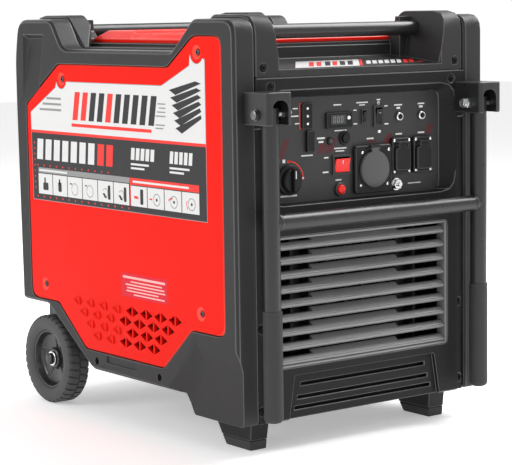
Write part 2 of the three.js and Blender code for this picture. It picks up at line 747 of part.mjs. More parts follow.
function handleFrame() {
  const top = PIVOT_Z + 9;
  const tubes = [1, -1].map((side) => (
    rod('z', TUBE.radius, GRIP.bottom + 12, top, side * TUBE.x, TUBE.y, 16)));
  const crossbar = rod('x', CROSSBAR.radius, -TUBE.x, TUBE.x, TUBE.y, CROSSBAR.z, 16);
  const bores = [1, -1].map((side) => (
    rod('z', TUBE.radius - TUBE.wall, GRIP.bottom + 5, top + 5, side * TUBE.x, TUBE.y, 12)));
  const crossBore = rod('x', CROSSBAR.radius - TUBE.wall, -TUBE.x, TUBE.x, TUBE.y, CROSSBAR.z, 12);
  const pinHoles = rod('x', 5.4, -TUBE.x - 20, TUBE.x + 20, TUBE.y, PIVOT_Z, 12);
  const pinClear = box(-TUBE.x + 20, TUBE.x - 20, TUBE.y - 6, TUBE.y + 6, PIVOT_Z - 6, PIVOT_Z + 6);
  return cut(join(...tubes, crossbar), ...bores, crossBore, cut(pinHoles, pinClear));
}

add('handle_frame', paintedSteel, handleFrame());

function grip() {
  const inner = TUBE.radius + GAP;
  return turned('z', [
    [0, GRIP.bottom],
    [GRIP.radius - 4, GRIP.bottom],
    [GRIP.radius, GRIP.bottom + 5],
    [GRIP.radius, GRIP.top - 2],
    [GRIP.radius - 0.8, GRIP.top],
    [inner, GRIP.top],
    [inner, GRIP.bottom + 11.5],
    [0, GRIP.bottom + 11.5],
  ], TUBE.x, TUBE.y, 16);
}

addPair('grip', rubber, grip());

// A folded channel, open below, with an arched window that the tube swings out through.
function handleBracket() {
  const { inner, outer, depth, bottom, top, wall, fold } = BRACKET;
  const block = prism('z', [
    [inner, -depth, fold],
    [outer, -depth, fold],
    [outer, -GAP],
    [inner, -GAP],
  ], bottom, top, { chamfer: 1 });
  const cavity = prism('z', [
    [inner + wall, -depth + wall, fold - wall],
    [outer - wall, -depth + wall, fold - wall],
    [outer - wall, -wall - GAP],
    [inner + wall, -wall - GAP],
  ], bottom - 1, top - wall);
  const archHalf = TUBE.radius + 1.2;
  const arch = plate([
    [TUBE.x - archHalf, bottom - 1],
    [TUBE.x - archHalf, PIVOT_Z + 20, archHalf - 0.5],
    [TUBE.x + archHalf, PIVOT_Z + 20, archHalf - 0.5],
    [TUBE.x + archHalf, bottom - 1],
  ], -depth - 1, -depth + wall + 1, { curve: 5 });
  const pinHole = rod('x', 5.3, inner - 1, outer + 1, TUBE.y, PIVOT_Z, 12);
  return cut(block, cavity, arch, pinHole);
}

addPair('handle_bracket', paintedSteel, handleBracket());

function pivotBolt() {
  const { inner, outer } = BRACKET;
  const shank = rod('x', 4.9, inner - 14, outer + GAP + 1, TUBE.y, PIVOT_Z, 12);
  const head = rod('x', 8, outer + GAP, outer + 6.5, TUBE.y, PIVOT_Z, 6);
  const nut = rod('x', 8.5, inner - 10, inner - GAP, TUBE.y, PIVOT_Z, 6);
  return join(shank, head, nut);
}

addPair('pivot_bolt', zincSteel, pivotBolt());

// ---------------------------------------------------------------- chassis, feet, wheels

const WELL_INNER = 190;          // half width of the tray between the wheels
const WELL_FRONT = 425;

function chassisTray() {
  const back = LENGTH - 16;
  const front = BEZEL.depth + 1;
  const plan = [
    [-CORE, front],
    [CORE, front],
    [CORE, WELL_FRONT],
    [WELL_INNER, WELL_FRONT],
    [WELL_INNER, back],
    [-WELL_INNER, back],
    [-WELL_INNER, WELL_FRONT],
    [-CORE, WELL_FRONT],
  ];
  const pan = prism('z', plan, FLOOR, FLOOR + 24);
  const inside = prism('z', grown(plan, -3), FLOOR + 3, FLOOR + 30);
  const cheek = prism('x', [
    [WELL_FRONT, FLOOR],
    [back, FLOOR],
    [back, 164],
    [WELL_FRONT + 85, 164],
    [WELL_FRONT, 112],
  ], WELL_INNER - 3, WELL_INNER);
  return join(cut(pan, inside), cheek, mirrored(cheek));
}

add('chassis_tray', paintedSteel, chassisTray());

const FOOT = { x0: 158, x1: 189, y0: 38, y1: 99, pad: 14 };

// The rear face of a foot slants, so the block is longest under the tray.
addPair('foot', blackPlastic, taper(
  [FOOT.x0, FOOT.x1, FOOT.y0, FOOT.y1 + 8], FOOT.pad + GAP,
  [FOOT.x0 - 4, FOOT.x1 + 1, FOOT.y0 - 8, FOOT.y1 + 52], FLOOR - GAP,
));

addPair('foot_pad', rubber, taper(
  [FOOT.x0 + 1, FOOT.x1 - 1, FOOT.y0 + 1, FOOT.y1 - 1], 0,
  [FOOT.x0, FOOT.x1, FOOT.y0, FOOT.y1 + 8], FOOT.pad,
));

const HUB_BORE = AXLE_RADIUS + 0.4;
const RIM_RADIUS = 47;
const WHEEL_IN = HALF - WHEEL.width;

addPair('tyre', rubber, turned('x', [
  [RIM_RADIUS + GAP, WHEEL_IN + 5],
  [WHEEL.radius - 11, WHEEL_IN],
  [WHEEL.radius - 2.5, WHEEL_IN + 3],
  [WHEEL.radius, WHEEL_IN + 10],
  [WHEEL.radius, HALF - 10],
  [WHEEL.radius - 2.5, HALF - 3],
  [WHEEL.radius - 11, HALF],
  [RIM_RADIUS + GAP, HALF - 5],
  [RIM_RADIUS + GAP, WHEEL_IN + 5],
], WHEEL.y, WHEEL.z, 32));

addPair('rim', blackPlastic, turned('x', [
  [HUB_BORE, WHEEL_IN + 2],
  [18, WHEEL_IN + 2],
  [18, WHEEL_IN + 14],
  [RIM_RADIUS - 4, WHEEL_IN + 14],
  [RIM_RADIUS - 4, WHEEL_IN + 5.5],
  [RIM_RADIUS, WHEEL_IN + 5.5],
  [RIM_RADIUS, HALF - 5.5],
  [RIM_RADIUS - 6, HALF - 16],
  [17, HALF - 20],
  [15, HALF - 12],
  [HUB_BORE, HALF - 12],
  [HUB_BORE, WHEEL_IN + 2],
], WHEEL.y, WHEEL.z, 24));

add('axle', zincSteel, rod('x', AXLE_RADIUS, -HALF + 7, HALF - 7, WHEEL.y, WHEEL.z, 16));

addPair('hub_cap', bareSteel, turned('x', [
  [HUB_BORE, HALF - 11.5],
  [12, HALF - 11.5],
  [12, HALF - 9],
  [10, HALF - 4],
  [0, HALF - 3],
  [0, HALF - 6],
  [HUB_BORE, HALF - 6],
  [HUB_BORE, HALF - 11.5],
], WHEEL.y, WHEEL.z, 16));

function axleHanger() {
  const ear = prism('x', [
    [WHEEL.y - 28, FLOOR - GAP],
    [WHEEL.y + 28, FLOOR - GAP],
    [WHEEL.y + 15, WHEEL.z - 15, 4],
    [WHEEL.y - 15, WHEEL.z - 15, 4],
  ], 166, 174);
  return cut(ear, rod('x', AXLE_RADIUS + 0.4, 160, 180, WHEEL.y, WHEEL.z, 16));
}

addPair('axle_hanger', paintedSteel, axleHanger());

// ---------------------------------------------------------------- rear cover

const TAILPIPE = { x: 110, z: 270, radius: 16 };

function rearCover() {
  const [front, back] = [LENGTH - 15, LENGTH - 3];
  const shape = [
    [-WELL_INNER + 4, FLOOR],
    [WELL_INNER - 4, FLOOR],
    [WELL_INNER - 4, 168],
    [CORE, 168],
    [CORE, BEZEL.top],
    [-CORE, BEZEL.top],
    [-CORE, 168],
    [-WELL_INNER + 4, 168],
  ];
  const slab = plate(shape, front, back, { chamfer: 1.5 });
  const hollow = plate(grown(shape, -WALL), front - 1, back - WALL);
  const pipeHole = rod('y', TAILPIPE.radius + 8, front - 2, back + 1, TAILPIPE.x, TAILPIPE.z, 20);
  const slots = [];
  for (let i = 0; i < 8; i += 1) {
    const z = 330 + 20 * i;
    slots.push(plate(rectangle(-140, 140, z - 4, z + 4), front - 2, back + 1));
  }
  return cut(slab, hollow, pipeHole, ...slots);
}

add('rear_cover', darkPlastic, rearCover());

// ---------------------------------------------------------------- inside the cabinet

const SHAFT = { y: 310, z: 235 };
const TRAY_TOP = FLOOR + 3 + GAP;  // what stands on the tray starts here

function engine() {
  const crankcase = prism('x', rectangle(225, 395, FLOOR + 16, 320, 18), -62, 90);
  const cylinder = prism('x', [[262, 300], [350, 300], [372, 404], [284, 404]], -32, 62);
  const fins = [];
  for (let i = 0; i < 4; i += 1) {
    const lean = 4.4 * i;
    fins.push(box(-40, 70, 262 + lean, 358 + lean, 324 + 20 * i, 328 + 20 * i));
  }
  const stub = rod('x', 14, -86, -60, SHAFT.y, SHAFT.z, 16);
  const mounts = [-42, 70].flatMap((x) => [
    rod('z', 12, TRAY_TOP, FLOOR + 20, x, 250, 10),
    rod('z', 12, TRAY_TOP, FLOOR + 20, x, 370, 10),
  ]);
  return join(crankcase, cylinder, ...fins, stub, ...mounts);
}

add('engine', castAluminium, engine());

// The wound stator is bolted to the crankcase; the magnet rotor is a bell that turns around it.
add('alternator_stator', zincSteel, turned('x', [
  [14.6, -112],
  [72, -112],
  [72, -66],
  [62, -62.6],
  [14.6, -62.6],
  [14.6, -112],
], SHAFT.y, SHAFT.z, 28));

add('alternator_rotor', castAluminium, turned('x', [
  [0, -150],
  [24, -150],
  [30, -128],
  [92, -128],
  [92, -70],
  [76, -70],
  [76, -116],
  [12, -116],
  [12, -90],
  [0, -90],
], SHAFT.y, SHAFT.z, 28));

function silencer() {
  const can = prism('x', rectangle(425, 560, 205, 335, 28), -120, 150, { chamfer: 6 });
  const pipe = rod('y', TAILPIPE.radius, 550, LENGTH - 1, TAILPIPE.x, TAILPIPE.z, 16);
  const bore = rod('y', TAILPIPE.radius - 2, 552, LENGTH, TAILPIPE.x, TAILPIPE.z, 16);
  const header = box(0, 40, 396, 430, 290, 320);
  return cut(join(can, pipe, header), bore);
}

add('silencer', zincSteel, silencer());

function fuelTank() {
  const tank = prism('x', rectangle(140, 470, 428, 532, 22), -175, 175, { chamfer: 8 });
  const neck = rod('z', NECK.radius, 525, 590, NECK.x, NECK.y, 20);
  const bore = rod('z', NECK.radius - 3, 500, 591, NECK.x, NECK.y, 20);
  const straps = [200, 380].map((y) => box(-CORE, CORE, y, y + 30, 476, 482));
  return cut(join(tank, neck, ...straps), bore);
}

add('fuel_tank', blackPlastic, fuelTank());

function inverterModule() {
  const base = box(-150, 150, 60, 112, TRAY_TOP, 318);
  const fins = [];
  for (let i = 0; i < 9; i += 1) {
    fins.push(box(-145 + 34 * i, -139 + 34 * i, 40, 62, 132, 314));
  }
  return join(base, ...fins);
}

add('inverter_module', castAluminium, inverterModule());

add('battery', blackPlastic, join(
  box(-178, -78, 130, 205, TRAY_TOP, 185),
  box(-170, -156, 140, 154, 184, 193),
  box(-100, -86, 140, 154, 184, 193),
));

add('air_cleaner', blackPlastic, join(
  prism('z', rectangle(70.6, 180, 150, 290, 16), 330, 418, { chamfer: 5 }),
  box(110, 150, 120, 152, 350, 390),
));

export default generator;
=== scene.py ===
"""Looks of the inverter generator: plastics, decals, tyres, tubes, controls, floor, light and camera."""

import json
import math

import bmesh
import bpy
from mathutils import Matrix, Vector


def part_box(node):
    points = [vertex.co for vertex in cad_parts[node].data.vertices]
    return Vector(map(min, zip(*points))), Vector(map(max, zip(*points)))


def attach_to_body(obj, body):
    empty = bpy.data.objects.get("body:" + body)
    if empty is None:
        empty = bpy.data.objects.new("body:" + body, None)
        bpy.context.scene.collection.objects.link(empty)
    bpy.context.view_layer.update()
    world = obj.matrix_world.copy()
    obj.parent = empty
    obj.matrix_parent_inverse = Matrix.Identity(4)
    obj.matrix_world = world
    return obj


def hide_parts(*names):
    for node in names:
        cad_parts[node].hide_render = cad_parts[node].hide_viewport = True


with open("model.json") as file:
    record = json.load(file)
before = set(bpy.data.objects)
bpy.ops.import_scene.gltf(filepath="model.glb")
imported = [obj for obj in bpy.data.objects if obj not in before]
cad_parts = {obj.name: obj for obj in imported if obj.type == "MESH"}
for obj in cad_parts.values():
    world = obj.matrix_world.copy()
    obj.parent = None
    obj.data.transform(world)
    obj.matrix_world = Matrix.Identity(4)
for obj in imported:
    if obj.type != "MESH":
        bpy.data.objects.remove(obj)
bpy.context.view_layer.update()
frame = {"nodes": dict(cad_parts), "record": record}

NODES = frame["nodes"]
RECORD = frame["record"]
BODY_OF = {node: body for body, members in RECORD["behaviour"]["bodies"].items() for node in members}
SIDES = (("left", -1), ("right", 1))
MM = 0.001
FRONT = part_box("front_bezel")[0].y          # the cabinet's front face


def at(x, y, z):
    """A point in millimetres: x from the middle, y back from the cabinet's front face, z from the ground."""
    return Vector((x * MM, FRONT + y * MM, z * MM))


def mm_box(node):
    """A node's box in the same millimetres: (x0, x1), (y0, y1), (z0, z1)."""
    low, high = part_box(node)
    return (
        (low.x / MM, high.x / MM),
        ((low.y - FRONT) / MM, (high.y - FRONT) / MM),
        (low.z / MM, high.z / MM),
    )


def mid(span):
    return (span[0] + span[1]) / 2


# -------- materials

WARM_DUST = (0.55, 0.53, 0.5)
GLOSS_SPREAD = 0.07                          # how far the roughness wanders either way


def surface(name, color, roughness, metallic=0.0, grain=1400, bump=0.10, tint=0.05, blotch=9,
            coat=0.0, sheen=0.0, stretch=None, dust=0.0, specular=0.5):
    """A procedural surface: slow colour change, uneven gloss, fine grain and light dust on top faces."""
    mat = bpy.data.materials.new(name)
    mat.use_nodes = True
    nodes, links = mat.node_tree.nodes, mat.node_tree.links
    shader = nodes["Principled BSDF"]
    place = nodes.new("ShaderNodeTexCoord").outputs["Object"]
    if stretch:
        mapping = nodes.new("ShaderNodeMapping")
        mapping.inputs["Scale"].default_value = stretch
        links.new(place, mapping.inputs["Vector"])
        place = mapping.outputs["Vector"]

    def noise(scale, detail):
        node = nodes.new("ShaderNodeTexNoise")
        node.inputs["Scale"].default_value = scale
        node.inputs["Detail"].default_value = detail
        links.new(place, node.inputs["Vector"])
        return node.outputs["Fac"]

    def blend(factor, low, high):
        node = nodes.new("ShaderNodeMix")
        node.data_type = "RGBA"
        node.inputs["A"].default_value = (*low, 1)
        node.inputs["B"].default_value = (*high, 1)
        links.new(factor, node.inputs["Factor"])
        return node

    dark = [c * (1 - tint) for c in color]
    light = [min(1.0, c * (1 + tint)) for c in color]
    color_out = blend(noise(blotch, 3), dark, light).outputs["Result"]
    if dust:
        normal = nodes.new("ShaderNodeNewGeometry").outputs["Normal"]
        split = nodes.new("ShaderNodeSeparateXYZ")
        links.new(normal, split.inputs["Vector"])
        upward = nodes.new("ShaderNodeMapRange")
        upward.inputs["From Min"].default_value = 0.75
        upward.inputs["To Max"].default_value = dust
        links.new(split.outputs["Z"], upward.inputs["Value"])
        patchy = nodes.new("ShaderNodeMath")
        patchy.operation = "MULTIPLY"
        links.new(upward.outputs["Result"], patchy.inputs[0])
        links.new(noise(40, 4), patchy.inputs[1])
        veil = blend(patchy.outputs["Value"], color, WARM_DUST)
        links.new(color_out, veil.inputs["A"])
        color_out = veil.outputs["Result"]
    links.new(color_out, shader.inputs["Base Color"])
    gloss = nodes.new("ShaderNodeMapRange")
    gloss.inputs["To Min"].default_value = max(0.02, roughness - GLOSS_SPREAD)
    gloss.inputs["To Max"].default_value = min(1.0, roughness + GLOSS_SPREAD)
    links.new(noise(blotch * 7, 4), gloss.inputs["Value"])
    links.new(gloss.outputs["Result"], shader.inputs["Roughness"])
    relief = nodes.new("ShaderNodeBump")
    relief.inputs["Strength"].default_value = bump
    relief.inputs["Distance"].default_value = 0.0004
    links.new(noise(grain, 2), relief.inputs["Height"])
    links.new(relief.outputs["Normal"], shader.inputs["Normal"])
    shader.inputs["Metallic"].default_value = metallic
    shader.inputs["Coat Weight"].default_value = coat
    shader.inputs["Coat Roughness"].default_value = 0.12
    shader.inputs["Sheen Weight"].default_value = sheen
    shader.inputs["Specular IOR Level"].default_value = specular
    return mat


def ink(name, color, roughness=0.42, tint=0.02, specular=0.25):
    return surface(f"ink_{name}", color, roughness, grain=2500, bump=0.02, tint=tint, specular=specular)


HOUSING = surface("housing_plastic", (0.023, 0.023, 0.024), 0.48, grain=1700, bump=0.22, dust=0.02,
                  specular=0.24)
# Lighter, glossier housing plastic for the rounded edges: a painted highlight.
HOUSING_EDGE_HIGHLIGHT = surface("housing_edge", (0.062, 0.062, 0.064), 0.36, grain=1700, bump=0.1, specular=0.5)
BEZEL = surface("bezel_plastic", (0.012, 0.012, 0.013), 0.46, grain=1700, bump=0.22, dust=0.02, specular=0.14)
# Lighter, glossier bezel plastic for the rounded edges: a painted highlight.
BEZEL_EDGE_HIGHLIGHT = surface("bezel_edge_highlight", (0.065, 0.065, 0.067), 0.36, grain=1700, bump=0.1, specular=0.5)
LOUVRE = surface("louvre_plastic", (0.17, 0.17, 0.171), 0.32, grain=1500, bump=0.12, dust=0.03, specular=0.75)
PANEL_BLACK = surface("control_panel_plastic", (0.030, 0.030, 0.031), 0.45, grain=1300, bump=0.12,
                      specular=0.3)
BLACK = surface("black_plastic", (0.008, 0.008, 0.009), 0.36, grain=1500, bump=0.08, specular=0.2)
# Lighter black for the rounded edges of black parts, a painted highlight; also the plain colour of the start
# button's ring and the outlet's inner disc.
GREY_BLACK_AND_EDGE_HIGHLIGHT = surface("grey_black_and_edge_highlight", (0.045, 0.045, 0.047), 0.32, grain=1500, bump=0.05, specular=0.4)
LID_GREY = surface("lid_plastic", (0.075, 0.075, 0.077), 0.42, grain=1500, bump=0.1, specular=0.35)
RED = surface("red_plastic", (0.76, 0.007, 0.001), 0.42, grain=900, bump=0.05, tint=0.03, blotch=5,
              specular=0.08)
# Lighter red for the rounded and chamfered edges: a painted highlight.
RED_EDGE_HIGHLIGHT = surface("red_edge_highlight", (0.84, 0.04, 0.02), 0.3, grain=900, bump=0.03, tint=0.03, specular=0.35)
RED_BUTTON = surface("red_switch", (0.80, 0.010, 0.006), 0.25, grain=700, bump=0.03, tint=0.03, specular=0.4)
RUBBER = surface("grip_rubber", (0.034, 0.034, 0.035), 0.66, grain=800, bump=0.25, sheen=0.03, specular=0.3)
TYRE = surface("tyre_rubber", (0.065, 0.065, 0.065), 0.62, grain=650, bump=0.35, dust=0.05, tint=0.15,
               specular=0.3)
COAT = surface("powder_coat", (0.018, 0.018, 0.019), 0.3, grain=2300, bump=0.05, specular=0.45)
# Lighter powder coat for the rounded edges: a painted highlight.
COAT_EDGE_HIGHLIGHT = surface("powder_coat_edge_highlight", (0.06, 0.06, 0.062), 0.34, grain=2300, bump=0.15, specular=0.5)
ZINC = surface("zinc_plate", (0.55, 0.56, 0.57), 0.32, metallic=1.0, grain=500, bump=0.05, tint=0.12,
               blotch=60)
BRIGHT = surface("bright_steel", (0.78, 0.78, 0.78), 0.16, metallic=1.0, grain=400, bump=0.03, tint=0.05,
                 blotch=60)
DARK_STEEL = surface("dark_screw", (0.07, 0.07, 0.075), 0.3, metallic=1.0, grain=600, bump=0.05)
# Near-black screw heads: painted shade of the wells they sit in.
SCREW_IN_SHADE = surface("screw_painted_shade", (0.004, 0.004, 0.004), 0.4, grain=600, bump=0.05, specular=0.15)
CAST = surface("cast_aluminium", (0.42, 0.43, 0.44), 0.5, metallic=1.0, grain=700, bump=0.5, tint=0.1,
               blotch=30)
ANODISED = surface("black_anodised", (0.012, 0.012, 0.013), 0.55, grain=900, bump=0.2, tint=0.1, blotch=30,
                   specular=0.2)
MUFFLER = surface("aluminised_steel", (0.46, 0.45, 0.44), 0.42, metallic=1.0, grain=500, bump=0.15, tint=0.15,
                  blotch=25)
BOLT_DARK = surface("dark_bolt", (0.16, 0.16, 0.165), 0.34, metallic=1.0, grain=500, bump=0.1, tint=0.12,
                    blotch=60)
BRUSHED = surface("brushed_zinc", (0.5, 0.5, 0.51), 0.3, metallic=1.0, grain=900, bump=0.15, stretch=(1,
                  12, 12))
INK_WHITE = ink("white", (0.64, 0.64, 0.635), tint=0.01)
INK_DARK = ink("dark", (0.020, 0.020, 0.022), tint=0.03)
INK_GREY = ink("grey", (0.25, 0.25, 0.25), 0.45)
INK_RED = ink("red", (0.78, 0.030, 0.022))
INK_FAINT = ink("faint_red", (0.075, 0.014, 0.017), 0.45, tint=0.1)
INK_PINK = ink("pink", (0.85, 0.42, 0.40))
INK_CRIMSON = ink("crimson", (0.62, 0.004, 0.022), specular=0.2)
# Near-black surface for inward faces and the sheets behind the vents: painted shade inside the cabinet.
INSIDE_SHADE = surface("painted_inside_shade", (0.010, 0.010, 0.010), 0.9, grain=300, bump=0.6, tint=0.2, blotch=60,
                 specular=0.1)
RIM_BLACK = surface("rim_plastic", (0.020, 0.020, 0.021), 0.24, grain=1500, bump=0.05, specular=0.6)
GLASS = surface("display_glass", (0.012, 0.014, 0.015), 0.08, grain=600, bump=0.0, coat=0.6)
LENS = surface("lens", (0.75, 0.75, 0.72), 0.15, grain=600, bump=0.0, coat=0.5)
lens_shader = LENS.node_tree.nodes["Principled BSDF"]
lens_shader.inputs["Emission Color"].default_value = (1, 1, 0.95, 1)
lens_shader.inputs["Emission Strength"].default_value = 0.25


# -------- mesh helpers

WELD = 0.06 * MM                             # corners closer than this are one
FLAT = math.radians(0.8)                     # faces that meet at less than this are one flat face
ROOM = 0.42                                  # share of the shortest edge at a corner that a bevel may take
FOLD_LIMIT = 4e-6                            # square metres of folded faces that don't show
SHARP = 35                                   # degrees; edges that turn more than this are rounded


def link(name, data):
    piece = bpy.data.objects.new(name, data)
    bpy.context.scene.collection.objects.link(piece)
    return piece


def applied(piece):
    """Replaces a piece's mesh by what its modifiers make of it."""
    graph = bpy.context.evaluated_depsgraph_get()
    mesh = bpy.data.meshes.new_from_object(piece.evaluated_get(graph))
    piece.modifiers.clear()
    piece.data = mesh


def finished(piece, smooth=SHARP):
    """Smooth shading that keeps sharp edges sharp and large faces flat."""
    piece.data.shade_smooth()
    piece.data.set_sharp_from_angle(angle=math.radians(smooth))
    weighted = piece.modifiers.new("normals", "WEIGHTED_NORMAL")
    weighted.keep_sharp = True
    applied(piece)


def folded_area(mesh):
    """How much of the mesh's surface turns over on itself once it is cut into triangles."""
    mesh.calc_loop_triangles()
    total = 0.0
    for triangle in mesh.loop_triangles:
        if triangle.normal.dot(mesh.polygons[triangle.polygon_index].normal) < 0:
            total += triangle.area
    return total


def bevel_weights(bm, width):
    """Marks the sharp edges, with less width wherever the edges around are short."""
    layer = bm.edges.layers.float.new("bevel_weight_edge")
    room = {vert: ROOM * min(edge.calc_length() for edge in vert.link_edges) for vert in bm.verts}
    for edge in bm.edges:
        if len(edge.link_faces) == 2 and edge.calc_face_angle(0) > math.radians(SHARP):
            edge[layer] = min(1.0, room[edge.verts[0]] / width, room[edge.verts[1]] / width)


def attach(piece, body, replaces=()):
    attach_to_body(piece, body)
    if replaces:
        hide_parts(*replaces)


def skin(node, mats, whole, width=0.0):
    """A copy of a CAD node's mesh. A whole one has its flat faces rebuilt; a width weights its edges."""
    bm = bmesh.new()
    bm.from_mesh(NODES[node].data)
    bmesh.ops.remove_doubles(bm, verts=bm.verts, dist=WELD)
    if whole:
        bmesh.ops.dissolve_limit(bm, angle_limit=FLAT, verts=bm.verts, edges=bm.edges)
    for face in bm.faces:
        face.material_index = 0
    if width:
        bevel_weights(bm, width * MM)
    mesh = bpy.data.meshes.new(node + "_skin")
    bm.to_mesh(mesh)
    bm.free()
    for mat in mats:
        mesh.materials.append(mat)
    return mesh


# Whether flat faces are rebuilt whole, and the share of the bevel width: the first that barely folds is kept.
BEVEL_TRIES = ((True, 1), (False, 1), (False, 0.7), (False, 0.45), (False, 0.25))


def refined(node, mat, width, edge=None, segments=2):
    """A finer copy of a CAD node with rounded edges, which take the edge material when one is given: a
    painted highlight.
    """
    piece = link(node + "_skin", bpy.data.meshes.new(node))
    for whole, share in BEVEL_TRIES:
        piece.data = skin(node, (mat, edge or mat), whole, width)
        bevel = piece.modifiers.new("bevel", "BEVEL")
        bevel.width = width * MM * share
        bevel.segments = segments
        bevel.limit_method = "WEIGHT"
        bevel.use_clamp_overlap = False
        # The bevel faces take material 1, the painted edge highlight when one is given.
        bevel.material = 1
        applied(piece)
        if folded_area(piece.data) < FOLD_LIMIT:
            break
    finished(piece)
    attach(piece, BODY_OF[node], (node,))


def solid(name, rings, mat):
    """A body through rings of equally many points."""
    mesh = bpy.data.meshes.new(name)
    bm = bmesh.new()
    levels = [[bm.verts.new(point) for point in ring] for ring in rings]
    for low, high in zip(levels, levels[1:]):
        for i in range(len(low)):
            j = (i + 1) % len(low)
            bm.faces.new((low[i], low[j], high[j], high[i]))
    bm.faces.new(list(reversed(levels[0])))
    bm.faces.new(levels[-1])
    bmesh.ops.recalc_face_normals(bm, faces=bm.faces)
    bm.to_mesh(mesh)
    bm.free()
    mesh.materials.append(mat)
    return link(name, mesh)


AXES = {
    "x": lambda station, a, b: (station, a, b),
    "y": lambda station, a, b: (a, station, b),
    "z": lambda station, a, b: (a, b, station),
}


def turned(name, axis, profile, centre, mat, segments=48, loop=False, wave=None):
    """A turned piece. The profile is (radius, station); centre is where the axis passes."""
    mesh = bpy.data.meshes.new(name)
    bm = bmesh.new()
    rings = []
    for radius, station in profile:
        if radius == 0:
            rings.append([bm.verts.new(at(*AXES[axis](station, *centre)))])
            continue
        ring = []
        for i in range(segments):
            angle = 2 * math.pi * i / segments
            r = wave(radius, station, angle) if wave else radius
            point = AXES[axis](station, centre[0] + r * math.cos(angle), centre[1] + r * math.sin(angle))
            ring.append(bm.verts.new(at(*point)))
        rings.append(ring)
    pairs = list(zip(rings, rings[1:]))
    if loop:
        pairs.append((rings[-1], rings[0]))
    for low, high in pairs:
        for i in range(segments):
            j = (i + 1) % segments
            corners = [low[i % len(low)], low[j % len(low)], high[j % len(high)], high[i % len(high)]]
            bm.faces.new(list(dict.fromkeys(corners)))
    bmesh.ops.recalc_face_normals(bm, faces=bm.faces)
    bm.to_mesh(mesh)
    bm.free()
    mesh.materials.append(mat)
    return link(name, mesh)


def merged(name, pieces):
    """Joins pieces into one object, keeping their materials."""
    mesh = bpy.data.meshes.new(name)
    bm = bmesh.new()
    mats = []
    for piece in pieces:
        offset = {}
        for i, mat in enumerate(piece.data.materials):
            if mat not in mats:
                mats.append(mat)
            offset[i] = mats.index(mat)
        first = len(bm.faces)
        bm.from_mesh(piece.data)
        bm.faces.ensure_lookup_table()
        for face in bm.faces[first:]:
            face.material_index = offset[face.material_index]
        bpy.data.objects.remove(piece)
    bm.to_mesh(mesh)
    bm.free()
    for mat in mats:
        mesh.materials.append(mat)
    return link(name, mesh)


def assembled(name, pieces, body, replaces=(), smooth=SHARP):
    """One smoothed piece made of several, riding on a body."""
    piece = merged(name, pieces)
    finished(piece, smooth)
    attach(piece, body, replaces)


# -------- flat shapes for decals and prints

def rect(u0, u1, v0, v1, radius=0.0):
    if not radius:
        return [(u0, v0), (u1, v0), (u1, v1), (u0, v1)]
    points = []
    for u, v, start in ((u1 - radius, v1 - radius, 0), (u0 + radius, v1 - radius, 90),
                        (u0 + radius, v0 + radius, 180), (u1 - radius, v0 + radius, 270)):
        for step in range(4):
            angle = math.radians(start + 30 * step)
            points.append((u + radius * math.cos(angle), v + radius * math.sin(angle)))
    return points


def disc(u, v, radius, count=20):
    return [(u + radius * math.cos(2 * math.pi * i / count), v + radius * math.sin(2 * math.pi * i / count))
            for i in range(count)]


def arc(u, v, inner, outer, start, stop, count=18):
    angles = [math.radians(start + (stop - start) * i / count) for i in range(count + 1)]
    outside = [(u + outer * math.cos(a), v + outer * math.sin(a)) for a in angles]
    inside = [(u + inner * math.cos(a), v + inner * math.sin(a)) for a in reversed(angles)]
    return outside + inside


def slanted(u0, u1, v0, v1, lean):
    return [(u0, v0), (u1, v0), (u1 + lean, v1), (u0 + lean, v1)]


def inlay(name, shapes, place, thickness, mat):
    """Thin raised shapes on a face. place(u, v, w) gives the point w millimetres above the face."""
    mesh = bpy.data.meshes.new(name)
    bm = bmesh.new()
    for shape in shapes:
        low = [bm.verts.new(place(u, v, 0)) for u, v in shape]
        high = [bm.verts.new(place(u, v, thickness)) for u, v in shape]
        bm.faces.new(low)
        bm.faces.new(list(reversed(high)))
        for i in range(len(shape)):
            j = (i + 1) % len(shape)
            bm.faces.new((low[i], high[i], high[j], low[j]))
    bmesh.ops.recalc_face_normals(bm, faces=bm.faces)
    bm.to_mesh(mesh)
    bm.free()
    mesh.materials.append(mat)
    return link(name, mesh)


# -------- cabinet shell

SQUARE_ON, CHAMFERED = 0.9, 0.4              # how squarely a flat face and a chamfer face look outwards
# The sheet behind the vents is painted shade: a dark sheet that keeps the view through the vents dark.
SHADE_SHEET_Y, SHADE_SHEET_Z, SHADE_SHEET_CORNER = (112, 330), (104, 206), 14
SHADE_SHEET_STEPS = ((223, 0), (218, 0), (215, 3))  # distance from the middle, and how far the outline draws in


def side_panel(side, s):
    """The panel with a painted highlight on its chamfer and painted shade on its back."""
    node = f"side_panel_{side}"
    panel = link(node + "_skin", skin(node, (RED, RED_EDGE_HIGHLIGHT, INSIDE_SHADE), True))
    for face in panel.data.polygons:
        outward = face.normal.x * s
        # Inward faces take the painted inside shade, chamfer faces the painted red highlight.
        if outward < -SQUARE_ON:
            face.material_index = 2
        elif CHAMFERED < outward < SQUARE_ON:
            face.material_index = 1
    finished(panel)
    attach(panel, BODY_OF[node], (node,))


def vent_shade_sheet(side, s):
    """A dark sheet of painted shade that rests against the housing's inner face, behind the vents."""
    rings = []
    (y0, y1), (z0, z1) = SHADE_SHEET_Y, SHADE_SHEET_Z
    for x, inset in SHADE_SHEET_STEPS:
        outline = rect(y0 + inset, y1 - inset, z0 + inset, z1 - inset, SHADE_SHEET_CORNER)
        rings.append([at(s * x, y, z) for y, z in outline])
    attach(solid(f"vent_shade_sheet_{side}", rings, INSIDE_SHADE), "cabinet")


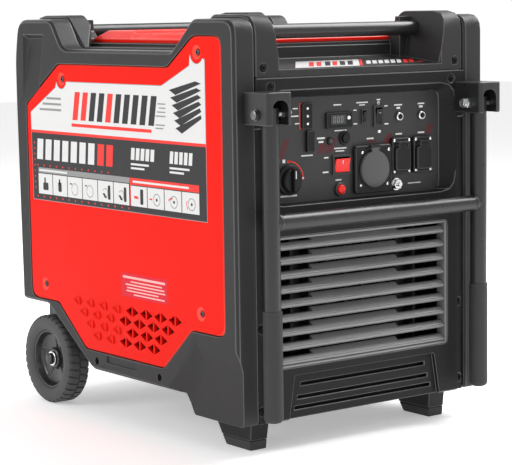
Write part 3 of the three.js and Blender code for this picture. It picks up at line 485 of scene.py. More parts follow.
for side, s in SIDES:
    refined(f"side_housing_{side}", HOUSING, 1.6, HOUSING_EDGE_HIGHLIGHT)
    side_panel(side, s)
    vent_shade_sheet(side, s)
refined("top_cover", HOUSING, 1.2, HOUSING_EDGE_HIGHLIGHT)
refined("top_lid", RED, 1.6, RED_EDGE_HIGHLIGHT, segments=3)
refined("front_bezel", BEZEL, 1.3, BEZEL_EDGE_HIGHLIGHT, segments=3)
refined("front_grille", LOUVRE, 0.5, BEZEL_EDGE_HIGHLIGHT)
refined("rear_cover", BEZEL, 0.7, BEZEL_EDGE_HIGHLIGHT)
refined("chassis_tray", COAT, 0.5, COAT_EDGE_HIGHLIGHT)
for side, _ in SIDES:
    refined(f"foot_{side}", BLACK, 1.5, GREY_BLACK_AND_EDGE_HIGHLIGHT, segments=3)
    refined(f"foot_pad_{side}", RUBBER, 1.8, segments=3)
    refined(f"axle_hanger_{side}", COAT, 0.6, COAT_EDGE_HIGHLIGHT)
    refined(f"handle_bracket_{side}", COAT, 0.7, COAT_EDGE_HIGHLIGHT)


# -------- screws

def pan_screw(x, y, z, axis, radius, height, mat, sign=1):
    """A pan head with a socket, standing out from its seat along -axis * sign."""
    seat = {"y": y, "x": x}[axis]
    centre = {"y": (x, z), "x": (y, z)}[axis]
    profile = [
        (0, seat),
        (radius, seat),
        (radius, seat - sign * height * 0.45),
        (radius * 0.8, seat - sign * height * 0.85),
        (radius * 0.42, seat - sign * height),
        (radius * 0.38, seat - sign * height * 0.45),
        (0, seat - sign * height * 0.45),
    ]
    return turned("screw", axis, profile, centre, mat, 18)


BEZEL_SCREWS = ((172, 526, 3), (190, 183, 8), (191, 64, 8))     # x, z and the well's floor
COVER_SCREW = (182.5, 552.5, 5.5)
PANEL_SCREWS = ((456, 529), (88, 575), (521, 197), (88, 200))   # y and z on the side panels
REAR_SCREW, FRONT_SCREW = PANEL_SCREWS[:2]                      # the two that the sticker bends around
HOUSING_SCREWS = ((371, 91), (198, 91))
DIMPLE, WELL = 3, 5                                             # how deep their heads sit
housing_edge = mm_box("side_housing_right")[0][1]
panel_face = mm_box("side_panel_right")[0][1]
# The heads sitting in wells are darkened to carry the wells' painted shade.
screws = [pan_screw(s * x, floor_y, z, "y", 5.2, 2.4, SCREW_IN_SHADE)
          for x, z, floor_y in (*BEZEL_SCREWS, COVER_SCREW) for s in (1, -1)]
for s in (1, -1):
    for y, z in PANEL_SCREWS:
        screws.append(pan_screw(s * (panel_face - DIMPLE), y, z, "x", 4.6, 2.0, DARK_STEEL, -s))
    for y, z in HOUSING_SCREWS:
        screws.append(pan_screw(s * (housing_edge - WELL), y, z, "x", 4.8, 2.4, SCREW_IN_SHADE, -s))
assembled("cabinet_screws", screws, "cabinet")


# -------- side decals

# How high the layers of a decal lie above the panel.
UNDER, FIELD, PRINT, OVERPRINT = -0.02, 0.08, 0.18, 0.28


def side_decals(side, s):
    def place(layer):
        return lambda u, v, w: at(s * (panel_face + layer + w), u, v)

    def bite(screw, reach, start, stop):
        """The arc that keeps a sticker clear of a screw's dimple."""
        return [(screw[0] + reach * math.cos(math.radians(start + (stop - start) * i / 6)),
                 screw[1] + reach * math.sin(math.radians(start + (stop - start) * i / 6))) for i in range(7)]

    border = [
        (475, 515.6), *bite(REAR_SCREW, 15, -16, -166), (441, 525.6), (178, 526.1), (174, 527.5),
        (106, 556.5), *bite(FRONT_SCREW, 16, -12, -150), (68, 566), (68, 334), (550.2, 333), (552.6, 474.4),
    ]
    white = [
        (474, 514.6), *bite(REAR_SCREW, 16, -22, -166), (440, 524.6), (178, 525.1), (173, 527), (106, 555.4),
        *bite(FRONT_SCREW, 17, -12, -150), (69, 564), (69, 446), (551, 446), (551.5, 474),
    ]
    dark = [(69, 335), (549.2, 334), (551, 441.5), (69, 441.5)]
    pieces = []

    def add(name, shapes, layer, mat):
        pieces.append(inlay(f"decal_{name}_{side}", shapes, place(layer), 0.1, mat))

    add("border", [border], UNDER, INK_GREY)
    add("white_field", [white], FIELD, INK_WHITE)
    add("red_line", [rect(69, 551, 441.5, 446)], FIELD, INK_RED)
    add("dark_field", [dark], FIELD, INK_DARK)

    # Slanted bars in place of a name, with a thin underline, and a fan of wedges at the front end.
    bars_dark, bars_red = [], []
    for k in range(10):
        high = 425 - 23.5 * k
        (bars_red if k in (0, 1, 4) else bars_dark).append(slanted(high - 15, high, 466, 510, -9))
    underline = [rect(205, 428, 455.5, 460.5)]
    fan = []
    for k in range(6):
        tip = 158 - 3 * k
        fan.append([(tip, 520 - 11 * k), (92 - 2.5 * k, 534 - 9.5 * k), (78, 531 - 10 * k),
                    (tip - 16, 513 - 11 * k)])
    notes = [rect(458, 458 + length, 496 - 9 * k, 499.5 - 9 * k)
             for k, length in enumerate((44, 56, 66))]
    notes += [rect(168, 168 + length, 498 - 6 * k, 500 - 6 * k) for k, length in enumerate((20, 16, 22, 26))]
    notes += [rect(170, 194, 467, 469), rect(174, 194, 462, 464)]
    add("bars_dark", bars_dark + fan, PRINT, INK_DARK)
    add("bars_red", bars_red + underline, PRINT, INK_RED)
    add("notes", notes, PRINT, INK_GREY)

    # Rating blocks and fine lines on the dark band.
    rating = [slanted(536 - 25.5 * k - 18, 536 - 25.5 * k, 399, 432, -3) for k in range(7)]
    rating += [slanted(262 - 13 * k - 9.5, 262 - 13 * k, 413, 431, -2) for k in range(5)]
    rating += [slanted(160 - 12 * k - 8.5, 160 - 12 * k, 413, 431, -2) for k in range(5)]
    rating += [rect(214, 262, 405, 408), rect(226, 262, 399, 402)]
    rating += [rect(110, 160, 405, 408), rect(124, 160, 399, 402)]
    rating_red = [slanted(356 - 25 * k - 18, 356 - 25 * k, 399, 432, -3) for k in range(2)]
    dots = [disc(534 - 19 * k, 389.5, 1.6, 8) for k in range(12)]
    dots += [disc(543, 425 - 9 * k, 1.5, 8) for k in range(9)]
    dots += [disc(536 - 19 * k, 339, 1.6, 8) for k in range(15)]
    add("rating", rating, PRINT, INK_WHITE)
    add("rating_red", rating_red + dots, PRINT, INK_RED)

    # Two strips of picture tiles with headers.
    tiles, glyph_dark, glyph_red, glyph_grey = [], [], [], []
    for k in range(6):
        high = 533 - 44.4 * k
        tiles.append(rect(high - 42.4, high, 343.5, 376))
        middle = high - 21
        if k in (0, 1):
            glyph_dark.append(rect(middle - 9 + 4 * k, middle + 7 - 2 * k, 350, 362 + 3 * k, 2))
            glyph_dark.append(rect(middle - 1, middle + 3, 362, 370))
        elif k in (2, 3):
            glyph_grey.append(arc(middle, 357, 8.5, 9.8, 0, 350))
            glyph_dark.append(rect(middle + 8, middle + 14, 364, 366))
        else:
            glyph_grey.append(arc(middle, 358, 6, 7.2, 30, 260))
            glyph_dark.append(rect(middle - 14, middle - 7, 348, 370, 2))
            glyph_dark.append(slanted(middle - 4, middle + 2, 350, 357, 6))
    for k in range(4):
        high = 263.5 - 44.6 * k
        tiles.append(rect(high - 42.6, high, 343.5, 374))
        middle = high - 21
        if k == 0:
            glyph_dark.append(rect(middle - 12, middle - 4, 347, 370, 2))
            glyph_red.append(slanted(middle, middle + 11, 355, 359, 3))
        else:
            glyph_grey.append(arc(middle - 3, 357, 8, 9.4, 0, 350))
            glyph_red.append(rect(middle + 9, middle + 16, 356, 358.4) if k == 1
                             else arc(middle - 3, 357, 11.5, 13.2, 320, 380) if k == 3
                             else arc(middle + 4, 355, 6, 8, 20, 120))
            glyph_dark.append(disc(middle - 3, 357, 2.4, 12))
    add("tiles", tiles, PRINT, INK_WHITE)
    add("tile_header_grey", [rect(266.6, 533, 377.4, 385.8)], PRINT, INK_GREY)
    add("tile_header_red", [rect(87, 263.5, 375.4, 385.8), rect(263.5, 265.4, 343.5, 385.8)], PRINT, INK_RED)
    add("header_notes", [rect(445, 530, 380, 383), rect(112, 258, 379, 382)], OVERPRINT, INK_WHITE)
    add("glyph_dark", glyph_dark, OVERPRINT, INK_DARK)
    add("glyph_red", glyph_red, OVERPRINT, INK_RED)
    add("glyph_grey", glyph_grey, OVERPRINT, INK_GREY)

    # Small note low on the panel.
    lines = [
        rect(178, 291, 232, 235.4), rect(186, 270, 226.4, 228.4), rect(180, 284, 221.6, 223.6),
        rect(178, 280, 216.8, 218.8), rect(196, 282, 212, 214), rect(180, 262, 207.2, 209.2),
    ]
    add("low_patch", [rect(172, 296, 203, 240)], UNDER, INK_CRIMSON)
    add("low_note", lines, FIELD, INK_PINK)
    assembled(f"side_decal_{side}", pieces, "cabinet")


for side, s in SIDES:
    side_decals(side, s)


# -------- platform decal under the front bar

def platform(layer):
    lip_y, lip_z, step_y, step_z = 2, 549, 104, 561
    slope = (step_z - lip_z) / (step_y - lip_y)
    return lambda u, v, w: at(u, v, lip_z + slope * (v - lip_y) + layer + w)


def skewed(u0, u1, v0, v1, lean):
    return [(u0 + lean * v0, v0), (u1 + lean * v0, v0), (u1 + lean * v1, v1), (u0 + lean * v1, v1)]


LEAN = 0.8
assembled("platform_decal", [
    inlay("pd_plate", [skewed(-136, 134, 9, 74, LEAN)], platform(0.02), 0.08, INK_DARK),
    inlay("pd_white", [skewed(-128, -8, 12, 70, LEAN)], platform(0.10), 0.08, INK_WHITE),
    inlay("pd_red_edge", [skewed(-7, -2, 12, 70, LEAN)], platform(0.10), 0.08, INK_RED),
    inlay("pd_dark_bars", [skewed(left, left + 10, 22, 60, LEAN) for left in (-73, -45, -30)],
          platform(0.18), 0.08, INK_DARK),
    inlay("pd_red_bars", [skewed(left, left + 9, 22, 60, LEAN) for left in (-103, -89, -59)],
          platform(0.18), 0.08, INK_RED),
    inlay("pd_white_bars", [skewed(6 + 12 * k, 14.5 + 12 * k, 26, 56, LEAN) for k in range(6)],
          platform(0.10), 0.08, INK_WHITE),
    inlay("pd_red_bars_2", [skewed(79 + 12 * k, 87.5 + 12 * k, 26, 56, LEAN) for k in range(2)]
          + [skewed(106, 118, 26, 33, LEAN)], platform(0.10), 0.08, INK_RED),
], "cabinet")


# -------- control panel prints

PANEL_Y = 15.0                               # front of the control panel
DIAL_X, DIAL_Z = -131.0, 391.0


def on_control_panel(u, v, w):
    return at(u, PANEL_Y - w, v)


prints_white = [
    rect(-121.8, -112.7, 491.7, 493.5), rect(-125.8, -111.6, 480.9, 482.7),
    rect(-118.2, -110.4, 470.2, 471.8), rect(-46.6, -31.8, 493.8, 495.6),
    rect(-8.8, -2.8, 484.6, 486.2), rect(-9, -2.2, 464.6, 466.2),
    rect(-3.2, 18.7, 495.2, 497), rect(2.2, 13.2, 491.8, 493.2), rect(49.2, 57.1, 488.2, 490),
    rect(49.6, 58.8, 461.6, 463.4), rect(36, 43, 498, 500), rect(70.3, 85.9, 488.6, 490.6),
    rect(75, 82, 483.6, 486.6), rect(117.4, 130.4, 488.8, 490.8), rect(120, 127, 483.8, 486.8),
    rect(16.3, 29.3, 441.4, 443.6), rect(72.8, 85.6, 445.2, 447.4), rect(117.1, 130.2, 445.2, 447.4),
    rect(-145.7, -115.9, 367, 369.4), rect(-64.9, -56.9, 418, 420), rect(-67.9, -57.2, 396.8, 399),
    rect(-46, -23, 430.6, 432.4), rect(-43.4, -27.1, 426.6, 428.2), rect(-43.9, -33, 384.4, 386.2),
    rect(96.6, 122.5, 370.4, 372), rect(-107.2, -86.1, 423.4, 425.2), rect(-77.8, -63.3, 446.6, 449),
    rect(-75, -66, 441, 443.6), rect(-45, -22, 456.4, 458), arc(39.5, 494, 1.2, 2.6, 0, 340, 12),
    rect(-141.5, -136.8, 416, 421), disc(-104.6, 392.6, 1.5, 10),
]
prints_red = [
    rect(-110, -108.6, 463.6, 499.2), rect(-110, -94.5, 498.4, 499.8), rect(-110, -96, 462.8, 464.2),
    arc(DIAL_X, DIAL_Z, 26.2, 27.6, 2, 92), disc(-131, 417.6, 2.2, 12), disc(-104.6, 392.6, 2.4, 12),
]
prints_faint = [
    slanted(-150, -140, 422, 450, 12), slanted(-78, -66, 426, 440, 6), slanted(-64, -50, 426, 446, 10),
    slanted(46, 58, 430, 448, 9), slanted(16, 34, 436.5, 440.6, 3), slanted(130, 142, 444, 458, 8),
]
assembled("panel_prints", [
    inlay("p_faint", prints_faint, on_control_panel, 0.08, INK_FAINT),
    inlay("p_white", prints_white, on_control_panel, 0.14, INK_WHITE),
    inlay("p_red", prints_red, on_control_panel, 0.12, INK_RED),
], "cabinet")


# -------- controls

refined("control_panel", PANEL_BLACK, 0.3, GREY_BLACK_AND_EDGE_HIGHLIGHT)
refined("main_socket", BLACK, 0.5, GREY_BLACK_AND_EDGE_HIGHLIGHT)
refined("main_socket_lid", LID_GREY, 0.6, BEZEL_EDGE_HIGHLIGHT)
for side, _ in SIDES:
    refined(f"socket_{side}", BLACK, 0.45, GREY_BLACK_AND_EDGE_HIGHLIGHT)
    refined(f"socket_{side}_lid", BLACK, 0.5, GREY_BLACK_AND_EDGE_HIGHLIGHT)
refined("engine_switch", RED_BUTTON, 0.4)
refined("economy_switch", BLACK, 0.35, GREY_BLACK_AND_EDGE_HIGHLIGHT)
refined("parallel_switch", BLACK, 0.3, GREY_BLACK_AND_EDGE_HIGHLIGHT)
refined("indicator_block", BLACK, 0.4, GREY_BLACK_AND_EDGE_HIGHLIGHT)
refined("comms_port", BLACK, 0.4, GREY_BLACK_AND_EDGE_HIGHLIGHT)
refined("display", BLACK, 0.4, GREY_BLACK_AND_EDGE_HIGHLIGHT)


def knurled(radius, station, angle):
    """Thirty-six grooves in the dial's skirt."""
    return radius - (0.7 if math.cos(36 * angle) > 0 and radius > 15 else 0)


def dial():
    knob = turned("dial_knob", "y", [
        (0, 2.5), (14.6, 2.5), (15.6, 3.0), (17.6, 5), (18, 9), (21.2, 9.8), (22, 10.6), (22, 13.4),
        (21.4, 14), (0, 14)], (DIAL_X, DIAL_Z), BLACK, 72, wave=knurled)
    fin_rings = []
    for y, half_x, half_z in ((6, 4, 17), (0, 3.6, 16.6), (-2.2, 3, 16), (-3, 2, 15)):
        fin_rings.append([at(u, y, v) for u, v in rect(
            DIAL_X - half_x, DIAL_X + half_x, DIAL_Z - half_z, DIAL_Z + half_z, 1.8)])
    fin = solid("dial_fin", fin_rings, BLACK)
    pointer = inlay("dial_pointer", [rect(DIAL_X - 0.8, DIAL_X + 0.8, DIAL_Z + 3, DIAL_Z + 14)],
                    lambda u, v, w: at(u, -2.95 - w, v), 0.12, INK_WHITE)
    shaft = turned("dial_shaft", "y", [(0, 13), (4, 13), (4, 22), (0, 22)],
                   (DIAL_X, DIAL_Z), DARK_STEEL, 20)
    pieces = [knob, fin, pointer, shaft]
    assembled("selector_dial_knob", pieces, "dial", ("selector_dial",), 40)


dial()


def push_button(node, radius, mat):
    across, (y0, y1), upright = mm_box(node)
    piece = turned(node + "_cap", "y", [
        (0, y0), (radius * 0.55, y0 + 0.05), (radius * 0.82, y0 + 0.4), (radius * 0.96, y0 + 1.1),
        (radius, y0 + 2), (radius, y1), (0, y1)], (mid(across), mid(upright)), mat, 32)
    finished(piece, 45)
    attach(piece, BODY_OF[node], (node,))


push_button("start_button", 7, RED_BUTTON)
push_button("breaker_button_left", 3.6, BLACK)
push_button("breaker_button_right", 3.6, BLACK)


def ring_nut(button, inner, outer, height, mat, sides):
    """The ring around a push button, standing out from the control panel."""
    across, _, upright = mm_box(button)
    front = PANEL_Y - height
    return turned("ring", "y", [
        (inner, PANEL_Y - 3.1), (inner, front), (outer - 0.8, front), (outer, front + 0.8),
        (outer, PANEL_Y - 2.95),
    ], (mid(across), mid(upright)), mat, sides, loop=True)


assembled("button_rings", [
    ring_nut("breaker_button_left", 4.3, 6.4, 4.6, BRIGHT, 24),
    ring_nut("breaker_button_right", 4.3, 6.4, 4.6, BRIGHT, 24),
    ring_nut("start_button", 7.7, 9.8, 3.9, GREY_BLACK_AND_EDGE_HIGHLIGHT, 32),
], "cabinet", smooth=40)


# -------- marks on the rockers, lamps, the display window and small fittings

def rocker_mark(name, node, shapes, tip, mat):
    """Marks lying on the rocker's upper half, which leans forward."""
    across, (y0, _), upright = mm_box(node)
    x, z, top = mid(across), mid(upright), upright[1]

    def on_rocker(u, v, w):
        return at(x + u, y0 + tip * (top - (z + v)) / (top - z) - 0.02 - w, z + v)

    attach(inlay(name, shapes, on_rocker, 0.1, mat), BODY_OF[node])


rocker_mark("engine_switch_mark", "engine_switch", [rect(-0.7, 0.7, 2, 7.4)], 2.8, INK_WHITE)
rocker_mark("economy_switch_mark", "economy_switch", [rect(-2.2, 2.2, 5, 6.2)], 2.9, INK_GREY)

bead = [(0, 10.9), (1.4, 11.1), (2.0, 11.8), (2.0, 12.4), (0, 12.4)]
pilot = [(0, 12.6), (1.6, 12.8), (2.3, 13.6), (2.3, 15), (0, 15)]
lamps = [turned("lamp", "y", bead, (-97, z), LENS, 16) for z in (492, 481, 470)]
lamps.append(turned("lamp", "y", pilot, (40, 452), LENS, 18))
assembled("panel_lamps", lamps, "cabinet", smooth=50)

assembled("display_window", [
    inlay("dw_glass", [rect(-55, -27, 466.5, 480.5, 1.2)], lambda u, v, w: at(u, 10.7 - w, v), 0.5, GLASS),
    inlay("dw_segments", [slanted(-51 + 7 * k, -50.2 + 7 * k, 469.5, 477.5, 0.8) for k in range(3)]
          + [slanted(-47.4 + 7 * k, -46.6 + 7 * k, 469.5, 477.5, 0.8) for k in range(3)]
          + [rect(-50.6 + 7 * k, -47.4 + 7 * k, 469.2, 470) for k in range(3)]
          + [rect(-50 + 7 * k, -46.8 + 7 * k, 477.2, 478) for k in range(3)],
          lambda u, v, w: at(u, 10.2 - w, v), 0.08, INK_GREY),
    turned("dw_knob", "y", [(0, 8.6), (2.2, 8.7), (2.7, 9.4), (2.7, 11), (0, 11)], (-21.7, 475.6), LENS, 18),
], "cabinet", smooth=40)


def cap_grip(radius, station, angle):
    """Sixteen grooves around the outlet's cap."""
    return radius - (0.5 if math.cos(16 * angle) > 0 and 6.5 < radius < 8 else 0)


CAP, PORT = (-27, 446), (-53.7, 443)
dome = [(0, 9), (6.2, 9), (7, 9.6), (7.6, 12.4), (10, 12.8), (10.5, 13.4), (10.5, 14.7), (0, 14.7)]
assembled("dc_outlet_cap", [
    turned("oc", "y", dome, CAP, BLACK, 40, wave=cap_grip),
    turned("od", "y", [(0, 12.2), (5.2, 12.2), (6.2, 13), (6.2, 14.7), (0, 14.7)], PORT, BLACK, 28),
    turned("oe", "y", [(0, 11.9), (3.4, 11.9), (3.4, 12.3), (0, 12.3)], PORT, GREY_BLACK_AND_EDGE_HIGHLIGHT, 20),
], "cabinet", ("dc_outlet",), 40)

SOCKET_FRONT = 8                             # where the heads of the socket screws sit
main_screws = [(2, 423), (53, 425), (-1.5, 375), (50, 374)]
small_screws = [(x + dx, 414 + dz) for x in (79, 121.5)
                for dx, dz in ((-14.5, 23), (14.5, -23), (-14.5, -23), (14.5, 23))]
assembled("socket_screws", [
    pan_screw(x, SOCKET_FRONT, z, "y", 2.3, 1.3, BRIGHT) for x, z in main_screws + small_screws
], "cabinet", smooth=40)

EARTH = (71, 372)
post = [(0, 2), (3.0, 2), (3.5, 2.6), (3.5, 14.7), (0, 14.7)]
hexagon = [(3.5, 6), (7.2, 6), (8, 6.8), (8, 10.4), (7.2, 11), (3.5, 11)]
washer = [(3.5, 11.4), (9.2, 11.4), (9.5, 11.8), (9.5, 12.8), (3.5, 12.8)]
backing = [(0, 12.9), (8, 12.9), (8, 14.7), (0, 14.7)]
assembled("earth_terminal_post", [
    turned("t1", "y", post, EARTH, BRIGHT, 24),
    turned("t2", "y", hexagon, EARTH, BRIGHT, 6, loop=True),
    turned("t3", "y", washer, EARTH, BRIGHT, 36, loop=True),
    turned("t4", "y", backing, EARTH, ZINC, 24),
], "cabinet", ("earth_terminal",), 40)


# -------- carry bars and pull handle

def bar(name, node):
    (x0, x1), depth, upright = mm_box(node)
    radius = (depth[1] - depth[0]) / 2
    piece = turned(name, "x", [
        (0, x0), (radius - 0.8, x0), (radius, x0 + 0.8), (radius, x1 - 0.8), (radius - 0.8, x1), (0, x1),
    ], (mid(depth), mid(upright)), COAT, 48)
    finished(piece, 40)
    attach(piece, "cabinet", (node,))


bar("carry_bar_front_tube", "carry_bar_front")
bar("carry_bar_rear_tube", "carry_bar_rear")

TUBE_X, TUBE_Y, TUBE_R = 198.5, -31.0, 12.5
BRACKET_INNER, BRACKET_OUTER = 178.0, 222.0
CROSS_Z, CROSS_R = 338.0, 12.0


def weld_ripple(radius, station, angle):
    return radius + 0.18 * math.sin(23 * angle)


def pull_handle():
    z0, z1 = mm_box("handle_frame")[2]
    pieces = []
    for s in (1, -1):
        pieces.append(turned("tube", "z", [
            (TUBE_R, z0), (TUBE_R, z1 - 0.6), (TUBE_R - 0.6, z1), (TUBE_R - 1.5, z1), (TUBE_R - 2, z1 - 0.5),
            (TUBE_R - 2, z0)], (s * TUBE_X, TUBE_Y), COAT, 48, loop=True))
        start = TUBE_X - math.sqrt(TUBE_R ** 2 - CROSS_R ** 2 * 0.2)
        pieces.append(turned("weld", "x", [
            (CROSS_R, s * (start - 3.6)), (CROSS_R + 1.0, s * (start - 1.6)),
            (CROSS_R + 1.3, s * (start + 1)), (CROSS_R, s * (start + 3))], (TUBE_Y, CROSS_Z), COAT, 40,
            wave=weld_ripple))
    length = [(CROSS_R, -TUBE_X + 4), (CROSS_R, TUBE_X - 4)]
    pieces.append(turned("cross", "x", length, (TUBE_Y, CROSS_Z), COAT, 48))
    assembled("handle_tubes", pieces, "pull_handle", ("handle_frame",), 40)


pull_handle()

for side, s in SIDES:
    z0, z1 = mm_box(f"grip_{side}")[2]
    profile = [(0, z0), (7, z0 + 0.2), (10.6, z0 + 1.4), (13, z0 + 3.8), (14, z0 + 7), (14, z0 + 40)]
    profile += [(14, z1 - 7), (13.5, z1 - 6.4), (13.5, z1 - 5), (14, z1 - 4.4), (14, z1 - 1), (13.4, z1),
                (12.8, z1), (12.8, z0 + 11.5), (0, z0 + 11.5)]
    grip = turned(f"grip_{side}_sleeve", "z", profile, (s * TUBE_X, TUBE_Y), RUBBER, 48)
    finished(grip, 40)
    attach(grip, "pull_handle", (f"grip_{side}",))


def coil(name, centre_yz, x0, x1, radius, wire, turns, mat):
    """A spring of round wire wound about an X axis."""
    rings, steps, around = [], int(turns * 18), 8
    cy, cz = centre_yz
    for i in range(steps + 1):
        t = i / steps
        angle = 2 * math.pi * turns * t
        radial = Vector((0, math.cos(angle), math.sin(angle)))
        centre = at(x0 + (x1 - x0) * t, cy, cz) + radial * radius * MM
        ring = []
        for j in range(around):
            phase = 2 * math.pi * j / around
            ring.append(centre + (radial * math.cos(phase) + Vector((1, 0, 0)) * math.sin(phase)) * wire * MM)
        rings.append(ring)
    return solid(name, rings, mat)


def pivot(side, s):
    """A bolt through the bracket: head and washer outside, a collar in it, a nut and a spring behind it."""
    node = f"pivot_bolt_{side}"
    across, depth, upright = mm_box(node)
    centre = (mid(depth), mid(upright))
    inner, outer = across[::s]
    face_out, face_in = s * (BRACKET_OUTER + 0.3), s * (BRACKET_INNER - 0.3)
    washer_top = face_out + s * 1.4
    head = [(0, outer), (5.6, outer), (7.2, outer - s * 1.0), (7.2, washer_top), (0, washer_top)]
    washer = [(0, washer_top), (8, washer_top), (8, face_out), (0, face_out)]
    shank = [(0, face_out), (4.9, face_out), (4.9, inner + s * 0.8), (4.2, inner), (0, inner)]
    collar = [(4.9, face_in + s * 3.6), (7.6, face_in + s * 3.6), (7.6, face_in + s * 5.6),
              (4.9, face_in + s * 5.6)]
    nut = [(4.9, face_in - s * 0.1), (8.2, face_in - s * 0.1), (8.2, face_in - s * 5.6),
           (7.4, face_in - s * 6.4), (4.9, face_in - s * 6.4)]
    assembled(f"pivot_bolt_{side}_set", [
        turned("head", "x", head, centre, BOLT_DARK, 6),
        turned("washer", "x", washer, centre, BOLT_DARK, 32),
        turned("shank", "x", shank, centre, ZINC, 20),
        turned("collar", "x", collar, centre, BRIGHT, 32, loop=True),
        turned("nut", "x", nut, centre, ZINC, 6, loop=True),
        coil("spring", centre, face_in - s * 7.2, inner + s * 1.2, 6.1, 0.7, 3.5, ZINC),
    ], "cabinet", (node,), 38)


for side, s in SIDES:
    pivot(side, s)


# -------- wheels

TREAD_STEPS = 144                            # steps around the tyre; a lug is three wide, a gap one
LUG_ROW = {4: 0, 5: 0, 6: 0, 7: 0, 9: 1, 10: 1, 11: 1, 12: 1}   # the row of lugs on each band of the profile
GROOVE = 2.2                                 # how far the grooves lie inside the tyre's full radius
SHOULDER = 66                                # outside this radius the lugs stand at full height
LUG_HEIGHT, SHOULDER_LIFT = 2.1, 0.6


def tyre(side):
    across, depth, upright = mm_box(f"tyre_{side}")
    x, y, z = mid(across), mid(depth), mid(upright)
    radius = (upright[1] - upright[0]) / 2
    half = (across[1] - across[0]) / 2
    base = radius - GROOVE
    profile = [
        (47.3, -half + 5), (50, -half + 2.2), (56, -half + 0.4), (62, -half), (66.5, -half + 1.4),
        (base - 0.9, -half + 4), (base, -half + 6.5), (base, -9), (base, -1.6),
        (base, 1.6), (base, 9), (base, half - 6.5), (base - 0.9, half - 4),
        (66.5, half - 1.4), (62, half), (56, half - 0.4), (50, half - 2.2), (47.3, half - 5),
    ]
    mesh = bpy.data.meshes.new("tyre")
    bm = bmesh.new()
    rings = []
    for r, dx in profile:
        turns = [2 * math.pi * (i + dx / 16) / TREAD_STEPS for i in range(TREAD_STEPS)]     # slants the lugs
        rings.append([bm.verts.new(at(x + dx, y + r * math.cos(t), z + r * math.sin(t))) for t in turns])
    lugs = {}
    for k in range(len(rings)):
        low, high = rings[k], rings[(k + 1) % len(rings)]
        for i in range(TREAD_STEPS):
            j = (i + 1) % TREAD_STEPS
            face = bm.faces.new((low[i], low[j], high[j], high[i]))
            face.smooth = True
            row = LUG_ROW.get(k)
            if row is not None:
                phase = (i + 2 * row) % 4
                if phase != 3:
                    lugs.setdefault((row, (i + 2 * row) // 4), []).append(face)
    bmesh.ops.recalc_face_normals(bm, faces=bm.faces)
    centre = at(x, y, z)
    for faces in lugs.values():
        made = bmesh.ops.extrude_face_region(bm, geom=faces)
        for vert in (v for v in made["geom"] if isinstance(v, bmesh.types.BMVert)):
            out = Vector((0, vert.co.y - centre.y, vert.co.z - centre.z))
            reach = out.length
            lift = min(LUG_HEIGHT * MM, radius * MM - reach) if reach > SHOULDER * MM else SHOULDER_LIFT * MM
            vert.co += out.normalized() * lift
        bmesh.ops.delete(bm, geom=[f for f in faces if f.is_valid], context="FACES_ONLY")
    bm.to_mesh(mesh)
    bm.free()
    mesh.materials.append(TYRE)
    piece = link(f"tyre_{side}_tread", mesh)
    piece.data.set_sharp_from_angle(angle=math.radians(SHARP))
    attach(piece, f"wheel_{side}", (f"tyre_{side}",))


RIBS = 5


def rim(side, s):
    across, along, upright = mm_box(f"rim_{side}")
    y, z = mid(along), mid(upright)
    back, face = across[::s]

    def depth(amount):
        return face - s * amount

    profile = [
        (8.4, back), (18, back), (18, back + s * 10), (42, back + s * 12), (43, back + s * 4),
        (46.6, back + s * 3.6), (47, back + s * 4.4), (47, depth(0.6)), (46.4, depth(0)), (44.6, depth(0.2)),
        (43.4, depth(1.6)), (41.6, depth(9)), (39.6, depth(11.4)), (36.5, depth(12.6)), (20, depth(15)),
        (18.4, depth(14.4)), (17.4, depth(12)), (16.4, depth(8.4)), (14.8, depth(7.2)), (8.4, depth(7)),
    ]
    dish = turned(f"rim_{side}_dish", "x", profile, (y, z), RIM_BLACK, 96, loop=True)
    ribs = []
    for k in range(RIBS):
        angle = 2 * math.pi * k / RIBS + 0.3
        radial = Vector((0, math.cos(angle), math.sin(angle)))
        sideways = Vector((0, -math.sin(angle), math.cos(angle)))
        rings = []
        for r, top, half in ((15, 12.4, 3.4), (24, 13.0, 3.0), (34, 12.2, 2.8), (40, 10.6, 3.2)):
            centre = at(0, y, z) + radial * r * MM
            outline = []
            for u, w in ((-half, 17), (-half * 0.8, top + 0.6), (-half * 0.4, top), (half * 0.4, top),
                         (half * 0.8, top + 0.6), (half, 17)):
                outline.append(centre + sideways * u * MM + Vector((depth(w) * MM, 0, 0)))
            rings.append(outline)
        ribs.append(solid("rib", rings, RIM_BLACK))
    assembled(f"rim_{side}_dished", [dish, *ribs], f"wheel_{side}", (f"rim_{side}",))


def hub(side, s):
    node = f"hub_cap_{side}"
    across, depth, upright = mm_box(node)
    centre = (mid(depth), mid(upright))
    inner, outer = across[::s]
    ring = [(8.6, inner), (12, inner), (12, inner + s * 1.4), (11.2, inner + s * 2.0), (8.6, inner + s * 2.0)]
    cap = [(8.5, inner), (9.4, inner + s * 2.2), (9.2, outer - s * 1.6), (7.6, outer - s * 0.3), (3.4, outer),
           (0, outer)]
    assembled(f"{node}_set", [
        turned("ring", "x", ring, centre, BRIGHT, 40, loop=True),
        turned("cap", "x", cap, centre, DARK_STEEL, 32),
    ], "cabinet", (node,), 40)


for side, s in SIDES:
    tyre(side)
    rim(side, s)
    hub(side, s)


# -------- fuel cap and the carried-over nodes

def ribbed(radius, station, angle):
    """Twenty grooves around the fuel cap's skirt."""
    return radius - (1.3 if radius > 36.5 and math.cos(20 * angle) > 0.35 else 0)


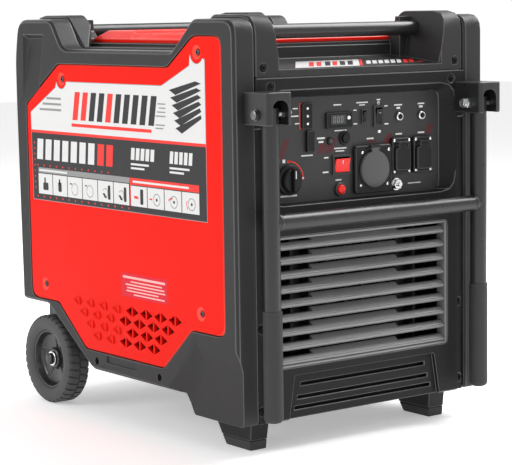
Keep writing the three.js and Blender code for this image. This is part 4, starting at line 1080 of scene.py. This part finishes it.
def fuel_cap():
    across, depth, (z0, z1) = mm_box("fuel_cap")
    cap = turned("fuel_cap_ribbed", "z", [
        (0, z0), (22.6, z0), (22.6, z1 - 15), (36, z1 - 15), (38, z1 - 13), (38, z1 - 4.5), (36.6, z1 - 2.4),
        (33, z1 - 1.2), (24, z1 - 1.0), (22, z1 - 2.2), (18, z1 - 2.2), (16, z1 - 0.8), (6, z1), (0, z1),
    ], (mid(across), mid(depth)), BLACK, 120, wave=ribbed)
    finished(cap, 40)
    attach(cap, "filler_cap", ("fuel_cap",))


fuel_cap()

for node, mat in {
    "engine": CAST, "alternator_stator": DARK_STEEL, "alternator_rotor": CAST, "silencer": MUFFLER,
    "fuel_tank": BLACK, "inverter_module": ANODISED, "battery": BLACK, "air_cleaner": BLACK, "axle": BRUSHED,
}.items():
    NODES[node].data.materials.clear()
    NODES[node].data.materials.append(mat)


# -------- floor, light and camera

FLOOR_HALF = 9                               # metres
WHITE = (1, 1, 1, 1)


def floor():
    """A pale floor that glows a little, so that it stays as light as the background."""
    mesh = bpy.data.meshes.new("floor")
    mesh.from_pydata([(*corner, 0) for corner in rect(-FLOOR_HALF, FLOOR_HALF, -FLOOR_HALF, FLOOR_HALF)],
                     [], [(0, 1, 2, 3)])
    pale = surface("pale_floor", (0.93, 0.93, 0.93), 0.8, grain=60, bump=0.0, tint=0.005, specular=0.2)
    glow = pale.node_tree.nodes["Principled BSDF"]
    glow.inputs["Emission Color"].default_value = WHITE
    glow.inputs["Emission Strength"].default_value = 0.34
    mesh.materials.append(pale)
    piece = link("floor", mesh)


floor()


def softbox(name, place, target, size, power):
    data = bpy.data.lights.new(name, "AREA")
    data.energy = power
    data.size = size
    lamp = link(name, data)
    lamp.location = place
    lamp.rotation_euler = (Vector(target) - Vector(place)).to_track_quat("-Z", "Y").to_euler()


softbox("overhead_right", (1.7, -0.4, 2.4), (0, 0, 0.3), 1.9, 105)
softbox("side", (-3.2, 0.9, 1.6), (0, 0, 0.35), 1.8, 42)
softbox("front", (-0.6, -3.4, 2.6), (0, 0, 0.35), 1.6, 12)
softbox("back", (0.6, 3.4, 2.8), (0, 0, 0.3), 2.0, 24)

world = bpy.data.worlds.new("studio")
world.use_nodes = True
sky_nodes, sky_links = world.node_tree.nodes, world.node_tree.links
height = sky_nodes.new("ShaderNodeSeparateXYZ")
sky_links.new(sky_nodes.new("ShaderNodeTexCoord").outputs["Generated"], height.inputs["Vector"])
falloff = sky_nodes.new("ShaderNodeMapRange")       # bright near the horizon, dimmer overhead
falloff.inputs["From Min"].default_value = 0.12
falloff.inputs["From Max"].default_value = 0.55
falloff.inputs["To Min"].default_value = 1.02
falloff.inputs["To Max"].default_value = 0.5
sky_links.new(height.outputs["Z"], falloff.inputs["Value"])
sky_links.new(falloff.outputs["Result"], sky_nodes["Background"].inputs["Strength"])
sky_nodes["Background"].inputs["Color"].default_value = WHITE
bpy.context.scene.world = world
bpy.context.scene.view_settings.view_transform = "Standard"

# The camera looks at the front left corner from just above the height of the towers.
CAMERA_AT = (-1.7803, -2.357, 0.640)
CAMERA_TURN = (-37.126, 6.908, 0.8307)       # azimuth, downward tilt and roll, degrees
LENS_MM = 131.96


def camera():
    azimuth, tilt, roll = (math.radians(a) for a in CAMERA_TURN)
    level = math.cos(tilt)
    forward = Vector((-math.sin(azimuth) * level, math.cos(azimuth) * level, -math.sin(tilt)))
    right = Vector((math.cos(azimuth), math.sin(azimuth), 0))
    down = forward.cross(right)
    side = right * math.cos(roll) + down * math.sin(roll)
    drop = down * math.cos(roll) - right * math.sin(roll)
    data = bpy.data.cameras.new("camera")
    data.lens = LENS_MM
    data.sensor_width = 36
    data.clip_end = 50
    eye = link("camera", data)
    rows = (side, -drop, -forward)
    matrix = eye.matrix_world.copy()
    for column, vector in enumerate(rows):
        for row in range(3):
            matrix[row][column] = vector[row]
    for row in range(3):
        matrix[row][3] = CAMERA_AT[row]
    eye.matrix_world = matrix
    bpy.context.scene.camera = eye


camera()
